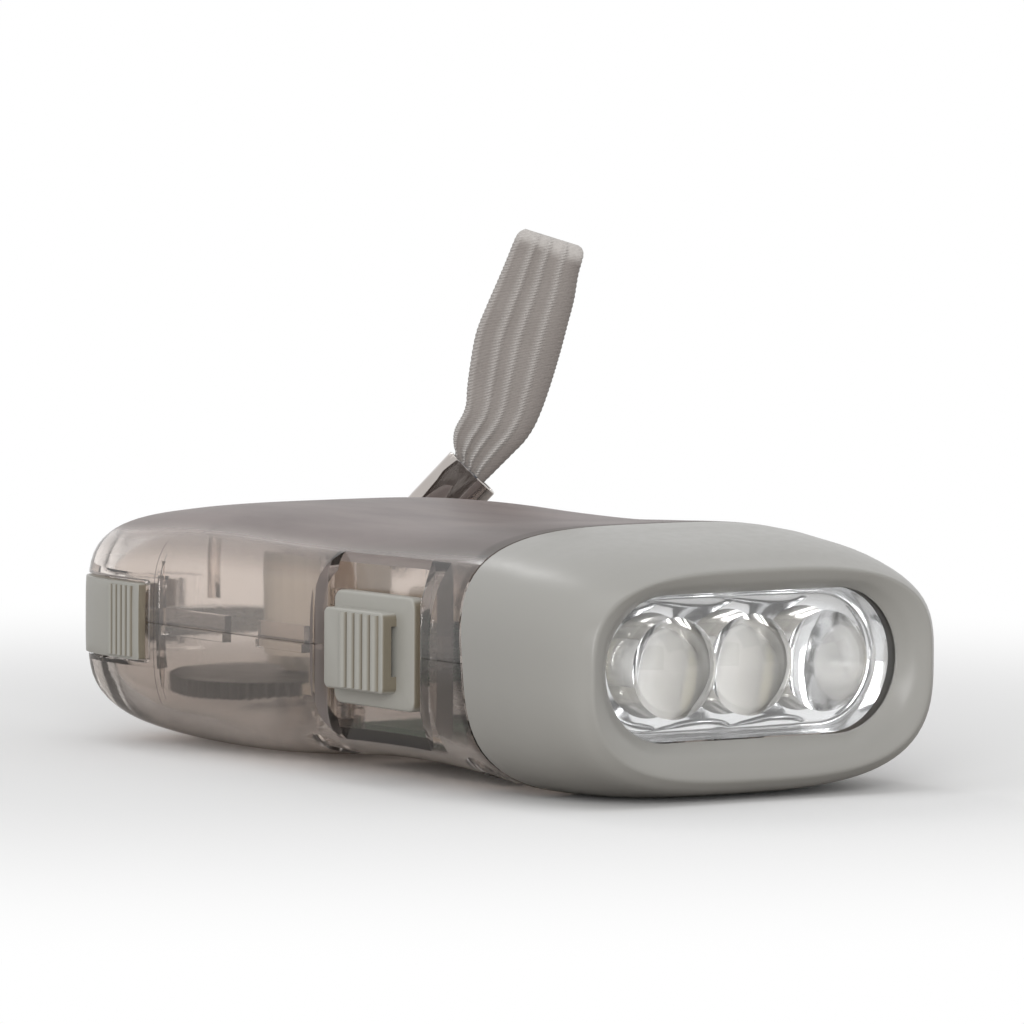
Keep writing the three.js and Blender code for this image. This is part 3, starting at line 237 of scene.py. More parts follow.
def cut(piece, tool):
    """Takes a tool out of a piece."""
    return combine(piece, tool, "DIFFERENCE")


def trim(piece, room, keep=False):
    """Keeps what of a piece is inside the room, and keeps the room itself when told."""
    return combine(piece, room, "INTERSECT", keep)


def smoothed(piece, degrees=35):
    """Merges what the cuts left double, and shades smooth with the sharp corners kept."""
    open_up(piece)
    bpy.ops.mesh.remove_doubles(threshold=2e-7)
    bpy.ops.mesh.dissolve_degenerate(threshold=1e-7)
    close_up()
    bpy.ops.object.shade_smooth_by_angle(angle=math.radians(degrees))
    return piece


def skin_between(name, out, into):
    """A closed wall between two outlines."""
    inner = hull("inner", into)
    open_up(inner)
    bpy.ops.mesh.flip_normals()
    close_up()
    whole = hull(name, out)
    only(whole, inner)
    bpy.ops.object.join()
    return whole


# The wall, with away as a distance that is outside the torch on every side
shell_wall = 1.6
away = 30
outer = hull("outer", 0)
wall_middle = hull("wall_middle", shell_wall / 2 * mm)
wall = skin_between("wall", 0, shell_wall * mm)

# The bay of the light switch: a liner, a fine step round its mouth, and a slot for the stem
bay_rear, bay_front, bay_low, bay_top, bay_corner = 26.52, 46.22, 3.0, 24.2, 4.2
bay_floor, step_floor = -21.7, -24.35
liner_wall, step_width = 1.1, 0.5
stem_rear, stem_front, stem_low, stem_top = 34.97, 37.77, 12.2, 15.0
switch_travel, slide_room = 2, 0.3


def bay_block(name, grow, depth):
    """The bay's rounded opening, grown on every side, from outside down to a depth."""
    return block(name, bay_rear - grow, bay_front + grow, -away, depth,
                 bay_low - grow, bay_top + grow, bay_corner + grow)


liner = trim(bay_block("liner", liner_wall, bay_floor + shell_wall), wall_middle, keep=True)
add(wall, liner)
cut(wall, bay_block("bay", 0, bay_floor))
cut(wall, bay_block("bay_rim", step_width, step_floor))
stem_end = switch_travel + slide_room
cut(wall, block("stem_slot", stem_rear - stem_end, stem_front + stem_end, -23, -19,
                stem_low - slide_room, stem_top + slide_room))

# The notch of the lever lock, round the tail corner, with a liner and a slot for the catch
lock_front, lock_end, lock_half_height = -6.9, -9, 4.1
catch_rear, catch_front, catch_low, catch_top = -15.08, -12.08, 11.4, 14.4
lock_travel = 3
seat_depth, notch_depth, notch_back = 1.1, 1.3, 2.8


def lock_block(name, ahead, inward, beside, corner=0):
    """The lock's block round the tail corner, grown ahead, inward and above and below."""
    half = lock_half_height + beside
    return block(name, -40, lock_front + ahead, -away, lock_end + inward,
                 seam - half, seam + half, corner)


notch = cut(lock_block("notch", 0.4, 0.9, slide_room, 0.6), hull("notch_floor", notch_depth * mm))
notch_liner = lock_block("notch_liner", 1.55, 2.4, slide_room + 0.5)
cut(notch_liner, hull("notch_back", notch_back * mm))
add(wall, trim(notch_liner, wall_middle, keep=True))
cut(wall, notch)
cut(wall, block("lock_slot", catch_rear - lock_travel - slide_room, catch_front + slide_room,
                -away, -18, catch_low - slide_room, catch_top + slide_room))

# The lever's slot in the far wall, and a thin rib down the inside of the near wall
lever_rear, lever_low, lever_top, lever_room = -11.48, 6.3, 20.9, 0.3
pivot_x, pivot_y, pivot_bore = 44.52, 16, 1.8
cut(wall, block("slot", lever_rear - 2 * lever_room, 50.82, 11.5, away,
                lever_low - lever_room, lever_top + lever_room))
add(wall, trim(block("rib", -5.0, -4.7, -away, -22.4, 4.6, 22.6), wall_middle, keep=True))


def half_zone(name, z0, z1):
    """All that is behind the leaning joint with the head, between two heights."""
    zone = block(name, -40, 100, -40, 40, z0, z1)
    for v in zone.data.vertices:
        if v.co.x > 0:
            v.co.x = joint_x - joint_room - joint_lean * (v.co.z - seam_z)
    return zone


half_gap = 0.03
upper = bpy.data.objects.new("upper_half", wall.data.copy())
bpy.context.scene.collection.objects.link(upper)
trim(upper, half_zone("upper_zone", seam + half_gap, 40))
lower = trim(wall, half_zone("lower_zone", 0, seam - half_gap))


def boss(half, x, y, radius, z0, z1, sides=32):
    """A post on the inside of a half."""
    add(half, trim(pin("boss", x, y, radius, z0, z1, sides), wall_middle, keep=True))


def bore(half, x, y, radius, z0, z1):
    """An upright hole in a half."""
    cut(half, pin("bore", x, y, radius, z0, z1))


# Posts for the axles and the lever's pin, rooted in both halves, with blind bores
under = -2
post, axle_bore = 2.4, 1.1
for x, y, top in ((4.632, 8.986, 16.9), (-4.28, -4.9, 10.7), (11.02, -11.839, 21.9)):
    boss(lower, x, y, post, under, 4.85)
    bore(lower, x, y, axle_bore, 2.75, 8)
    boss(upper, x, y, post, max(top, 13.8), away)
    bore(upper, x, y, axle_bore, top - 1, top + 2.1)
for half, z0, z1, low, high in ((lower, under, 6, 2.9, 8), (upper, 21.2, away, 19, 24.3)):
    boss(half, pivot_x, pivot_y, 3.4, z0, z1)
    bore(half, pivot_x, pivot_y, pivot_bore, low, high)

# Screw posts, each with a wider foot that holds the screw's sunk head, and a slim spare post
screw_post, screw_foot, screw_bore, head_bore = 1.9, 2.8, 1.2, 2.0
for x, y in ((50.62, -17.3), (50.62, 2.0), (-20.78, 5.6), (21.82, -17.5)):
    boss(lower, x, y, screw_post, under, 13.49)
    boss(lower, x, y, screw_foot, under, 6.3)
    bore(lower, x, y, screw_bore, 4, 14)
    bore(lower, x, y, head_bore, under, 5.5)
    boss(upper, x, y, screw_post, 13.71, away)
    bore(upper, x, y, screw_bore, 13, 18.9)
boss(upper, -0.24, -19, 0.7, 16.5, away, 16)

# The boss of the strap's stud, from the far tail corner inward, and its bore
stud_root, stud_turn = Vector((-14.48, 13.7, 19.0)) * mm, math.radians(146)
for radius, reach, length, how in ((2.8, 7.9, 6.2, "UNION"), (1.5, 9.5, 8, "DIFFERENCE")):
    stud_bar = pin("stud_bar", 0, 0, radius, -length / 2, length / 2)
    stud_bar.data.transform(
        Matrix.Translation(stud_root) @ Matrix.Rotation(stud_turn, 4, "Z")
        @ Matrix.Translation((reach * mm, 0, 0)) @ Matrix.Rotation(math.pi / 2, 4, "Y"))
    if how == "UNION":
        trim(stud_bar, wall_middle, keep=True)
    combine(upper, stud_bar, how)

# A lip of the lower half stands behind the upper one along the near side, in two lengths
lip_back, lip_foot = -20.1, 12.4
for x0, x1 in ((-4.4, 7.9), (14.4, 23.32)):
    lip, root = (
        trim(skin_between(name, out * mm, into * mm),
             block("zone", x0, x1, -away, lip_back, lip_foot, top))
        for name, out, into, top in (("lip", 1.9, 2.7, 15.2), ("root", 1.2, 2.5, 13.3)))
    add(lower, add(lip, root))


def finish_of(name):
    """A new material, its node tree and its shader."""
    made = bpy.data.materials.new(name)
    made.use_nodes = True
    return made, made.node_tree, made.node_tree.nodes["Principled BSDF"]


def place(tree, scale=(1, 1, 1), turn=(0, 0, 0)):
    """Object coordinates, scaled along each axis and turned."""
    where = tree.nodes.new("ShaderNodeTexCoord")
    mapping = tree.nodes.new("ShaderNodeMapping")
    mapping.inputs["Scale"].default_value = scale
    mapping.inputs["Rotation"].default_value = turn
    tree.links.new(where.outputs["Object"], mapping.inputs["Vector"])
    return mapping.outputs["Vector"]


def noise(tree, vector, scale, detail=3, rough=0.5):
    """A noise pattern at a scale per metre."""
    made = tree.nodes.new("ShaderNodeTexNoise")
    for name, number in (("Scale", scale), ("Detail", detail), ("Roughness", rough)):
        made.inputs[name].default_value = number
    tree.links.new(vector, made.inputs["Vector"])
    return made.outputs["Fac"]


def ease(tree, value, start, end, low=0.0, high=1.0, bend="SMOOTHSTEP"):
    """Goes from low to high as a value goes from start to end."""
    made = tree.nodes.new("ShaderNodeMapRange")
    made.interpolation_type = bend
    for name, number in (("From Min", start), ("From Max", end), ("To Min", low), ("To Max", high)):
        made.inputs[name].default_value = number
    tree.links.new(value, made.inputs["Value"])
    return made.outputs["Result"]


def spread(tree, pattern, low, high):
    """A noise pattern spread between low and high."""
    return ease(tree, pattern, 0.3, 0.7, low, high, "LINEAR")


def blended(tree, share, first, second):
    """Mixes two colours, each a socket or three numbers."""
    made = tree.nodes.new("ShaderNodeMix")
    made.data_type = "RGBA"
    tree.links.new(share, made.inputs["Factor"])
    for socket, colour in ((made.inputs["A"], first), (made.inputs["B"], second)):
        if isinstance(colour, tuple):
            socket.default_value = (*colour, 1)
        else:
            tree.links.new(colour, socket)
    return made.outputs["Result"]


def calc(tree, operation, first, second=0.0, third=0.0):
    """A Math node on sockets or numbers."""
    made = tree.nodes.new("ShaderNodeMath")
    made.operation = operation
    for socket, value in zip(made.inputs, (first, second, third)):
        if isinstance(value, (int, float)):
            socket.default_value = value
        else:
            tree.links.new(value, socket)
    return made.outputs[0]


def times(tree, first, *others):
    """The product of several sockets or numbers."""
    for other in others:
        first = calc(tree, "MULTIPLY", first, other)
    return first


def split(tree, vector):
    """The X, Y and Z of a vector."""
    made = tree.nodes.new("ShaderNodeSeparateXYZ")
    tree.links.new(vector, made.inputs[0])
    return made.outputs


def facing(tree):
    """Which way the surface faces, as the X, Y and Z of its normal."""
    return split(tree, tree.nodes.new("ShaderNodeNewGeometry").outputs["Normal"])


def feed(tree, shader, colour, roughness):
    """Links a colour and a roughness to the shader."""
    tree.links.new(colour, shader.inputs["Base Color"])
    tree.links.new(roughness, shader.inputs["Roughness"])


def settle(shader, **numbers):
    """Sets the shader's own sockets, named with _ for a space."""
    for name, number in numbers.items():
        shader.inputs[name.replace("_", " ")].default_value = number


def bumped(tree, shader, height, strength, distance):
    """Raises the shader's surface by a height pattern."""
    made = tree.nodes.new("ShaderNodeBump")
    made.inputs["Strength"].default_value = strength
    made.inputs["Distance"].default_value = distance
    tree.links.new(height, made.inputs["Height"])
    tree.links.new(made.outputs["Normal"], shader.inputs["Normal"])


def shown_as(tree, share, first, second, output="Material Output"):
    """Sends a mix of two shaders to the output."""
    mix = tree.nodes.new("ShaderNodeMixShader")
    for socket, source in zip(mix.inputs, (share, first, second)):
        tree.links.new(source, socket)
    tree.links.new(mix.outputs[0], tree.nodes[output].inputs["Surface"])


def lit_through(tree, shader, tint):
    """Lets the lamps shine through a clear material, tinted, on to what is behind it."""
    path = tree.nodes.new("ShaderNodeLightPath")
    bare = tree.nodes.new("ShaderNodeBsdfTransparent")
    bare.inputs["Color"].default_value = (*tint, 1)
    shown_as(tree, path.outputs["Is Shadow Ray"], shader.outputs[0], bare.outputs[0])


smoky, tree, shader = finish_of("smoky_clear_plastic")
fine = noise(tree, place(tree), 1400, 4, 0.6)
cloud = noise(tree, place(tree), 40, 2)
normal, spot = facing(tree), split(tree, place(tree))
above = ease(tree, spot["Z"], 16.5 * mm, 19 * mm)
frost = times(tree, ease(tree, normal["Z"], 0.72, 0.97), above)
# The rounded shoulder between side and top is painted darker: painted shade along the top edge
shoulder_shade = times(tree, ease(tree, normal["Z"], 0.3, 0.72), above)
# The side wall is paler towards the tail: painted light, for the light that comes through the
# tail's wall
painted_tail_light = ease(tree, spot["X"], -6 * mm, -22 * mm)
side_tint = blended(tree, cloud, (0.67, 0.61, 0.57), (0.79, 0.735, 0.695))
side_tint = blended(tree, painted_tail_light, side_tint, (0.82, 0.752, 0.702))
side_tint = blended(tree, shoulder_shade, side_tint, (0.42, 0.375, 0.35))
# Dark streaks on the frosted top: a painted reflection
reflection_streaks = noise(tree, place(tree, (45, 150, 45), (0, 0, math.radians(18))), 1, 3, 0.55)
reflection_streaks = spread(tree, reflection_streaks, 0, 1)
top_tint = blended(tree, reflection_streaks, (0.182, 0.149, 0.143), (0.282, 0.232, 0.224))
tint = blended(tree, frost, side_tint, top_tint)

# Painted shade: darker over the bay's upper edge, beside the head, and on the top near the head
brow_shade = times(tree, ease(tree, normal["Z"], 0.6, 0.76), ease(tree, normal["Z"], 0.96, 0.84), above,
             ease(tree, spot["X"], 20 * mm, 30 * mm, 0, 0.6))
tint = blended(tree, brow_shade, tint, (0.11, 0.09, 0.08))
over_seam = calc(tree, "SUBTRACT", spot["Z"], seam_z)
to_joint = calc(tree, "MULTIPLY_ADD", over_seam, joint_lean, spot["X"])
head_edge_shade = calc(tree, "MULTIPLY_ADD", frost, 1.2 * mm, to_joint)
head_edge_shade = ease(tree, head_edge_shade, joint_x - 1.7 * mm, joint_x - 0.6 * mm, 0, 0.8)
tint = blended(tree, head_edge_shade, tint, (0.09, 0.07, 0.06))
shade = times(tree, ease(tree, spot["X"], 31 * mm, 47 * mm, 0, 0.55),
              ease(tree, spot["Y"], -3 * mm, -15 * mm), frost)
tint = blended(tree, shade, tint, (0.1, 0.083, 0.076))

# The parting line round the middle, and the moulded line above and below the notch
off_seam = calc(tree, "ABSOLUTE", over_seam)
off_line = calc(tree, "ABSOLUTE", calc(tree, "ADD", spot["X"], 4.85 * mm))
parting = times(tree, ease(tree, off_seam, 0.04 * mm, 0.13 * mm, 0.8, 0),
                calc(tree, "LESS_THAN", spot["Y"], 15.5 * mm))
moulded = times(tree, ease(tree, off_line, 0.05 * mm, 0.14 * mm, 0.8, 0),
                calc(tree, "LESS_THAN", spot["Y"], -22 * mm),
                ease(tree, off_seam, 8.5 * mm, 9 * mm, 1, 0))
tint = blended(tree, calc(tree, "MAXIMUM", parting, moulded), tint, (0.12, 0.1, 0.09))

# The cut edge of the wall at the bay is painted paler and made less clear, so that it isn't black:
# painted light for the highlights along the bay's edge
rear_side = times(tree, ease(tree, normal["X"], 0.35, 0.7),
                  calc(tree, "COMPARE", spot["X"], 28 * mm, 4 * mm))
front_side = times(tree, ease(tree, normal["X"], -0.35, -0.7),
                   calc(tree, "COMPARE", spot["X"], 46.5 * mm, 1.5 * mm))
cut_edge = times(tree, calc(tree, "MAXIMUM", rear_side, front_side),
                 ease(tree, spot["Y"], -22.6 * mm, -23 * mm))
tint = blended(tree, cut_edge, tint, (0.34, 0.3, 0.285))
clearness = times(tree, ease(tree, frost, 0, 1, 0.97, 0.28), ease(tree, cut_edge, 0, 1, 1, 0.35))
tree.links.new(clearness, shader.inputs["Transmission Weight"])
gloss = calc(tree, "MULTIPLY_ADD", fine, 0.04, ease(tree, frost, 0, 1, 0.035, 0.42))
feed(tree, shader, tint, gloss)
settle(shader, IOR=1.49, Specular_IOR_Level=0.25)
bumped(tree, shader, fine, 0.1, 0.04 * mm)
lit_through(tree, shader, (0.72, 0.67, 0.64))


def dressed(piece, name, material, body, slot, *replaced):
    """Names a finished piece, gives it its material and joins it to its body."""
    piece.name = name
    piece.data.materials.clear()
    piece.data.materials.append(material)
    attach(piece, body)
    if replaced:
        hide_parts(*replaced)
    return piece


dressed(smoothed(lower), "lower_half", smoky, "casing", "smoky_shell", "lower_shell")
dressed(smoothed(upper), "upper_half", smoky, "casing", "smoky_shell", "upper_shell")

# Gears, generator, board and cell
# The works stand on posts in the lower shell: nylon gears with one large dark wheel, a
# small generator with a copper winding, a green board and a round cell with its tabs.


def varied(name, scale, detail, first, second, smooth, rough, stretch=(1, 1, 1)):
    """A finish whose colour and roughness vary a little with one fine pattern."""
    made, tree, shader = finish_of(name)
    grain = noise(tree, place(tree, stretch), scale, detail)
    feed(tree, shader, blended(tree, grain, first, second), spread(tree, grain, smooth, rough))
    return made, tree, shader, grain


def darker(colour, share):
    """A colour with each of its parts brought down to a share."""
    return tuple(share * part for part in colour)


inside = {}
for name, colour in (("nylon", (0.62, 0.58, 0.51)), ("dark_gear", (0.032, 0.031, 0.031)),
                     ("magnet", (0.09, 0.09, 0.095)), ("board", (0.04, 0.13, 0.07))):
    inside[name], tree, shader, grain = varied(name, 300, 3, darker(colour, 0.8), colour, 0.35, 0.5)
    bumped(tree, shader, grain, 0.1, 0.1 * mm)
for name, colour, rough in (("steel", (0.55, 0.56, 0.57), 0.28),
                            ("copper_wire", (0.55, 0.24, 0.1), 0.35),
                            ("bright_metal", (0.8, 0.81, 0.82), 0.1)):
    inside[name], tree, shader, grain = varied(name, 500, 2, darker(colour, 0.9), colour,
                                               rough * 0.8, rough * 1.2, stretch=(1, 1, 6))
    settle(shader, Metallic=1)

for name, members in (
    ("nylon", ("sector_gear", "first_gear", "second_pinion", "rotor_pinion", "generator_can",
               "coil_bobbin")),
    ("dark_gear", ("second_wheel",)),
    ("magnet", ("ring_magnet",)),
    ("board", ("lamp_board", "circuit_board")),
    ("copper_wire", ("coil_winding",)),
    ("steel", ("lever_pin", "return_spring", "first_axle", "second_axle", "rotor_axle",
               "switch_body", "lock_bar", "strap_stud", "cell", "case_screw_1", "case_screw_2",
               "case_screw_3", "case_screw_4")),
    ("bright_metal", ("lower_contact", "upper_contact")),
):
    for member in members:
        nodes[member].data.materials.clear()
        nodes[member].data.materials.append(inside[name])

# Hand lever
# A channel of the same smoky plastic, open towards the works, which fills the slot in the
# far wall. It turns on a steel pin through the round knuckle at its front end.
lever_wall, lever_edge, knuckle_radius = 1.6, 0.8, 8.4
lever = block("lever", lever_rear, pivot_x, 15.7, away, lever_low, lever_top, lever_edge)
knuckle = pin("knuckle", pivot_x, pivot_y, knuckle_radius, lever_low, lever_top, 64)
add(trim(lever, outer, keep=True), trim(knuckle, outer, keep=True))
cut(lever, block("hollow", lever_rear + 1.8, 60, -2, 22.9,
                 lever_low + lever_wall, lever_top - lever_wall))
cut(lever, pin("bore", pivot_x, pivot_y, pivot_bore, 0, away))
dressed(smoothed(lever), "hand_lever", smoky, "lever", "smoky_shell", "squeeze_lever")

# Sliders
# Two grey moulded sliders: the light switch in its bay, with a ribbed thumb pad on a plate,
# and the lever lock in its notch round the tail corner, ribbed at its front end.
slider_grey, tree, shader = finish_of("slider_grey_plastic")
grain = noise(tree, place(tree), 900, 4)
body_tint = blended(tree, grain, (0.385, 0.377, 0.343), (0.42, 0.412, 0.377))
# Faces that look towards the head are painted a dark warm brown: painted shade on that side of the
# pads
ahead = ease(tree, facing(tree)["X"], 0.5, 0.95)
feed(tree, shader, blended(tree, ahead, body_tint, (0.2, 0.175, 0.13)),
     spread(tree, grain, 0.36, 0.46))
bumped(tree, shader, grain, 0.15, 0.04 * mm)


def eased(piece, width, degrees=40):
    """Rounds the sharp edges of a moulded piece a little."""
    edge = piece.modifiers.new("edge", "BEVEL")
    edge.width = width * mm
    edge.segments = 3
    edge.limit_method = "ANGLE"
    edge.angle_limit = math.radians(degrees)
    only(piece)
    bpy.ops.object.modifier_apply(modifier=edge.name)
    return piece


ribs = 5
rib_x, rib_pitch, rib_radius = 33.5, 1.46, 0.64
plate = eased(block("plate", 28.87, 43.97, -23.6, -22.0, 7.7, 19.5, 1.2), 0.3)
pad = eased(block("pad", 29.6, 40.7, -25.35, -23.2, 9.4, 17.8, 0.7), 0.25)
for i in range(ribs):
    add(pad, pin("rib_bar", rib_x + rib_pitch * i, -25.2, rib_radius, 9.7, 17.5, 40))
add(plate, cut(pad, block("undercut", 39.2, 41.4, -24.25, -23.5, 11.2, 16.4)))
add(plate, block("stem", stem_rear, stem_front, -22.4, -18.6, stem_low, stem_top))
dressed(smoothed(plate, 40), "switch_button", slider_grey, "light_switch", "slider_plastic",
        "switch_slider")

lock_proud, lock_shift = 0.6, 1.1
rib_back, rib_pitch, rib_radius = 1.7, 0.98, 0.4
proud = hull("proud", -lock_proud * mm)
for v in proud.data.vertices:
    v.co.x += lock_shift * mm
lock = cut(trim(lock_block("lock", 0, 0, 0, 0.3), proud), hull("seat", seat_depth * mm))
eased(lock, 0.2, 50)
for i in range(ribs):
    x = lock_front - rib_back - rib_pitch * i
    wide = np.interp((x - tail_x / mm) * mm / body_length, outline[:, 0], outline[:, 1])
    y = -wide * body_half_width / mm - lock_proud
    add(lock, pin("rib_bar", x, y + 0.05, rib_radius, 9.8, 17.4))
add(lock, block("catch", catch_rear, catch_front, -24.1, -18.3, catch_low, catch_top))
dressed(smoothed(lock, 40), "lock_button", slider_grey, "lever_lock", "slider_plastic",
        "lock_slider")

# Head cover
# The head is a smooth warm grey moulding, closed all round, with a broad dished bezel that
# runs in to an oval window. It butts against the housing on a slightly leaning joint.
window_half_width, window_half_height = 18.2 * mm, 7.5 * mm
head_wall = 1.8 * mm
bezel_x = tail_x + body_length
bezel_depth = 2.15 * mm
clear_of_joint = joint_x + 2.2 * mm


def slot_ring(x, grow=0):
    """Points round the window's oval with its round ends, grown by some millimetres."""
    half_width, half_height = window_half_width + grow * mm, window_half_height + grow * mm
    turn = np.linspace(0, math.pi / 2, 200)
    line = np.column_stack([
        np.append(half_width - half_height + half_height * np.cos(turn), 0),
        np.append(half_height * np.sin(turn), half_height),
    ])
    part = even_steps(line, line, around // 4 + 1)[1]
    return round_four(x, part, part)


def joint_ring(inset):
    """The ring where the leaning joint meets the outline, drawn in by inset."""
    heights = np.full(around, seam_z)
    for again in range(4):
        ring = []
        for k, x in enumerate(joint_x + joint_room - joint_lean * (heights - seam_z)):
            along = (x - tail_x) / body_length
            shape = [np.interp(along, outline[:, 0], outline[:, n]) for n in (1, 2, 3, 4)]
            ring.append(outline_ring(x, *shape, inset)[k])
        ring = np.array(ring)
        heights = ring[:, 2]
    return ring


rings = [joint_ring(0)]
for along, *shape in outline:
    x = tail_x + along * body_length
    if x > clear_of_joint:
        rings.append(outline_ring(x, *shape))

# The bezel's dish: share of the way from the head's edge in to the window, and how far it
# stands before the edge, in millimetres
edge = rings[-1]
window = slot_ring(bezel_x)
for share, stand in ((0.04, 0.13), (0.1, 0.17), (0.18, 0.1), (0.28, -0.06), (0.38, -0.22),
                     (0.48, -0.38), (0.57, -0.55), (0.65, -0.74), (0.73, -0.98), (0.82, -1.28),
                     (0.91, -1.62), (0.97, -1.84), (1, -1.98), (1, -2.15)):
    ring = edge + (window - edge) * share
    ring[:, 0] = bezel_x + stand * mm
    rings.append(ring)
for along, *shape in reversed(outline):
    x = min(tail_x + along * body_length, bezel_x - bezel_depth)
    if x > clear_of_joint:
        rings.append(outline_ring(x, *shape, head_wall))
rings.append(joint_ring(head_wall))
head = skin("head", rings, bpy.ops.mesh.bridge_edge_loops)
head_grey, tree, shader = finish_of("head_grey_plastic")
grain = noise(tree, place(tree), 900, 3)
cloud = noise(tree, place(tree), 30, 2)
feed(tree, shader, blended(tree, cloud, (0.335, 0.328, 0.307), (0.355, 0.348, 0.327)),
     spread(tree, grain, 0.3, 0.36))
bumped(tree, shader, grain, 0.06, 0.04 * mm)
dressed(smoothed(head, 40), "head_shell", head_grey, "casing", "head_plastic", "head_cover")

# Lens
# One clear moulding set in the window from behind: an oval plate with a round dome in front
# of each of the three lamps.
clear, tree, shader, fine = varied("clear_plastic", 200, 2, (0.97, 0.975, 0.98),
                                   (0.995, 0.995, 0.995), 0.0, 0.04)
settle(shader, Transmission_Weight=1, IOR=1.49)
bumped(tree, shader, noise(tree, place(tree), 260, 2), 0.08, 0.2 * mm)
lit_through(tree, shader, (0.95, 0.95, 0.95))

lens_front = bezel_x - 2.3 * mm
lens = skin("lens_plate", [
    slot_ring(lens_front + x * mm, grow)
    for x, grow in ((-1.4, 0.55), (-1.4, 0.72), (-1.25, 0.8), (-0.15, 0.8), (0, 0.72), (0, 0.55))
])
lamp_pitch = 9.48 * mm
dome_radius, dome_rise = 5.2 * mm, 2.7 * mm
dome_root = lens_front / mm - 0.7
sphere = (dome_radius ** 2 + dome_rise ** 2) / (2 * dome_rise)
for i in (-1, 0, 1):
    bpy.ops.object.select_all(action="DESELECT")
    bpy.ops.mesh.primitive_uv_sphere_add(
        segments=96, ring_count=64, radius=sphere, rotation=(0, math.pi / 2, 0),
        location=(lens_front + dome_rise - sphere, lamp_pitch * i, seam_z))
    dome = bpy.context.object
    bpy.ops.object.transform_apply(location=True, rotation=True, scale=True)
    add(lens, trim(dome, block("front", dome_root, 80, -away, away, 0, 40)))
dressed(smoothed(lens, 30), "lens_window", clear, "casing", "clear_lens", "lens")

# Reflector
# A chromed oval trough that stands in the head behind the lens, with a flat floor and three
# deep round bowls sunk in it, one round each lamp.
chrome, tree, shader = finish_of("chromed_plastic")
ripple = noise(tree, place(tree), 240, 2)
deep = ease(tree, split(tree, place(tree))["X"], 59 * mm, 65 * mm)
bright = blended(tree, ripple, (0.78, 0.785, 0.79), (0.86, 0.86, 0.86))
feed(tree, shader, blended(tree, deep, (0.86, 0.85, 0.83), bright),
     spread(tree, ripple, 0.06, 0.12))
settle(shader, Metallic=0.88)
bumped(tree, shader, ripple, 0.2, 0.2 * mm)


def turned(name, x, y, profile, sides=64):
    """A round piece turned about a line along the torch, from (place, radius) pairs."""
    turn = np.arange(sides) / sides * 2 * math.pi
    return skin(name, [
        np.column_stack([np.full(sides, (x + place) * mm), y + r * mm * np.cos(turn),
                         seam_z + r * mm * np.sin(turn)])
        for place, r in profile
    ])


mirror_front, mirror_rear = 68.52, 58.02
rings = [slot_ring(mirror_rear * mm, -0.3)] + [
    slot_ring((mirror_front - depth) * mm, -inset)
    for inset, depth in ((0, 0), (0.15, 1.6), (0.4, 2.6), (1.0, 3.1), (1.8, 3.3), (7.2, 3.4))]
reflector = skin("reflector_bowl", rings)
bowl_mouth, bowl_start, bowl_end, bowl_deep, lamp_hole = 5.5, 3, 9.6, 8.2, 2.8
bowl = [(-2.6, bowl_mouth)]
bowl += [(-d, bowl_mouth * math.sqrt(1 - (d - bowl_start) / bowl_deep))
         for d in np.linspace(bowl_start, bowl_end, 24)]
bowl += [(-9.7, lamp_hole), (-12, lamp_hole)]
for i in (-1, 0, 1):
    cut(reflector, turned("bowl", mirror_front, lamp_pitch * i, bowl, 128))
dressed(smoothed(reflector, 40), "reflector_bowl", chrome, "casing", "bright_metal", "reflector")

# Lamps
# Three 5 mm lamps, each a milky resin bullet on a rim, moulded round a small metal cup that
# holds a pale yellow chip.
resin, tree, shader, fine = varied("lamp_resin", 500, 2, (0.9, 0.885, 0.86), (0.97, 0.96, 0.94),
                                   0.1, 0.15)
settle(shader, Transmission_Weight=0.5, IOR=1.5)
lit_through(tree, shader, (0.9, 0.9, 0.88))
chip_yellow = varied("chip_phosphor", 900, 3, (0.72, 0.66, 0.5), (0.82, 0.78, 0.62), 0.4, 0.6)[0]

lamp_radius, lamp_straight = 2.5, 5.9
bullet = [(0, 2.6), (0.05, 2.85), (0.9, 2.9), (1, lamp_radius), (lamp_straight, lamp_radius)]
bullet += [(lamp_straight + lamp_radius * math.sin(a), lamp_radius * math.cos(a))
           for a in np.linspace(0.1, 1.5, 14)]
cup_shape = [(0, 0.5), (0, 0.8), (0.9, 1.3), (0.9, 1.2), (0.5, 0.85), (0.5, 0.5)]
chip_shape = [(0, 0.3), (0, 0.8), (0.25, 1.1), (0.5, 1.0), (0.65, 0.3)]
for number in (1, 2, 3):
    y = lamp_pitch * (number - 2)
    dressed(smoothed(turned("lamp", 56.72, y, bullet), 40), f"lamp_bullet_{number}", resin,
            "casing", "clear_lens", f"lamp_{number}")
    dressed(smoothed(turned("cup", 58.4, y, cup_shape), 40), f"lamp_cup_{number}",
            inside["bright_metal"], "casing", "bright_metal")
    dressed(smoothed(turned("chip", 58.95, y, chip_shape), 60), f"lamp_chip_{number}",
            chip_yellow, "casing", "clear_lens")

# Ferrule
# A chromed sheet ferrule: a flat eye on the stud, opening to a flattened tube that grips
# the strap, with its sheet lapped over itself down the near face.
outward = Vector((math.cos(stud_turn), math.sin(stud_turn), 0))
aside = Vector((outward.y, -outward.x, 0))
upright = Vector((0, 0, 1))
clip_turn = math.radians(47)
stud_reach, stud_radius = 13.4, 1.5
stud_centre = stud_root + outward * stud_reach * mm
clip_axis = aside * math.cos(clip_turn) + upright * math.sin(clip_turn)
clip_across = outward.cross(clip_axis)
eye_radius, eye_half, eye_power = 2.7, 0.6, 2.4
tube_start, tube_run, tube_out, tube_top = 1.7, 2.4, 0.5, 11.3
lap_edge, lap_slope = 0.3, 0.1

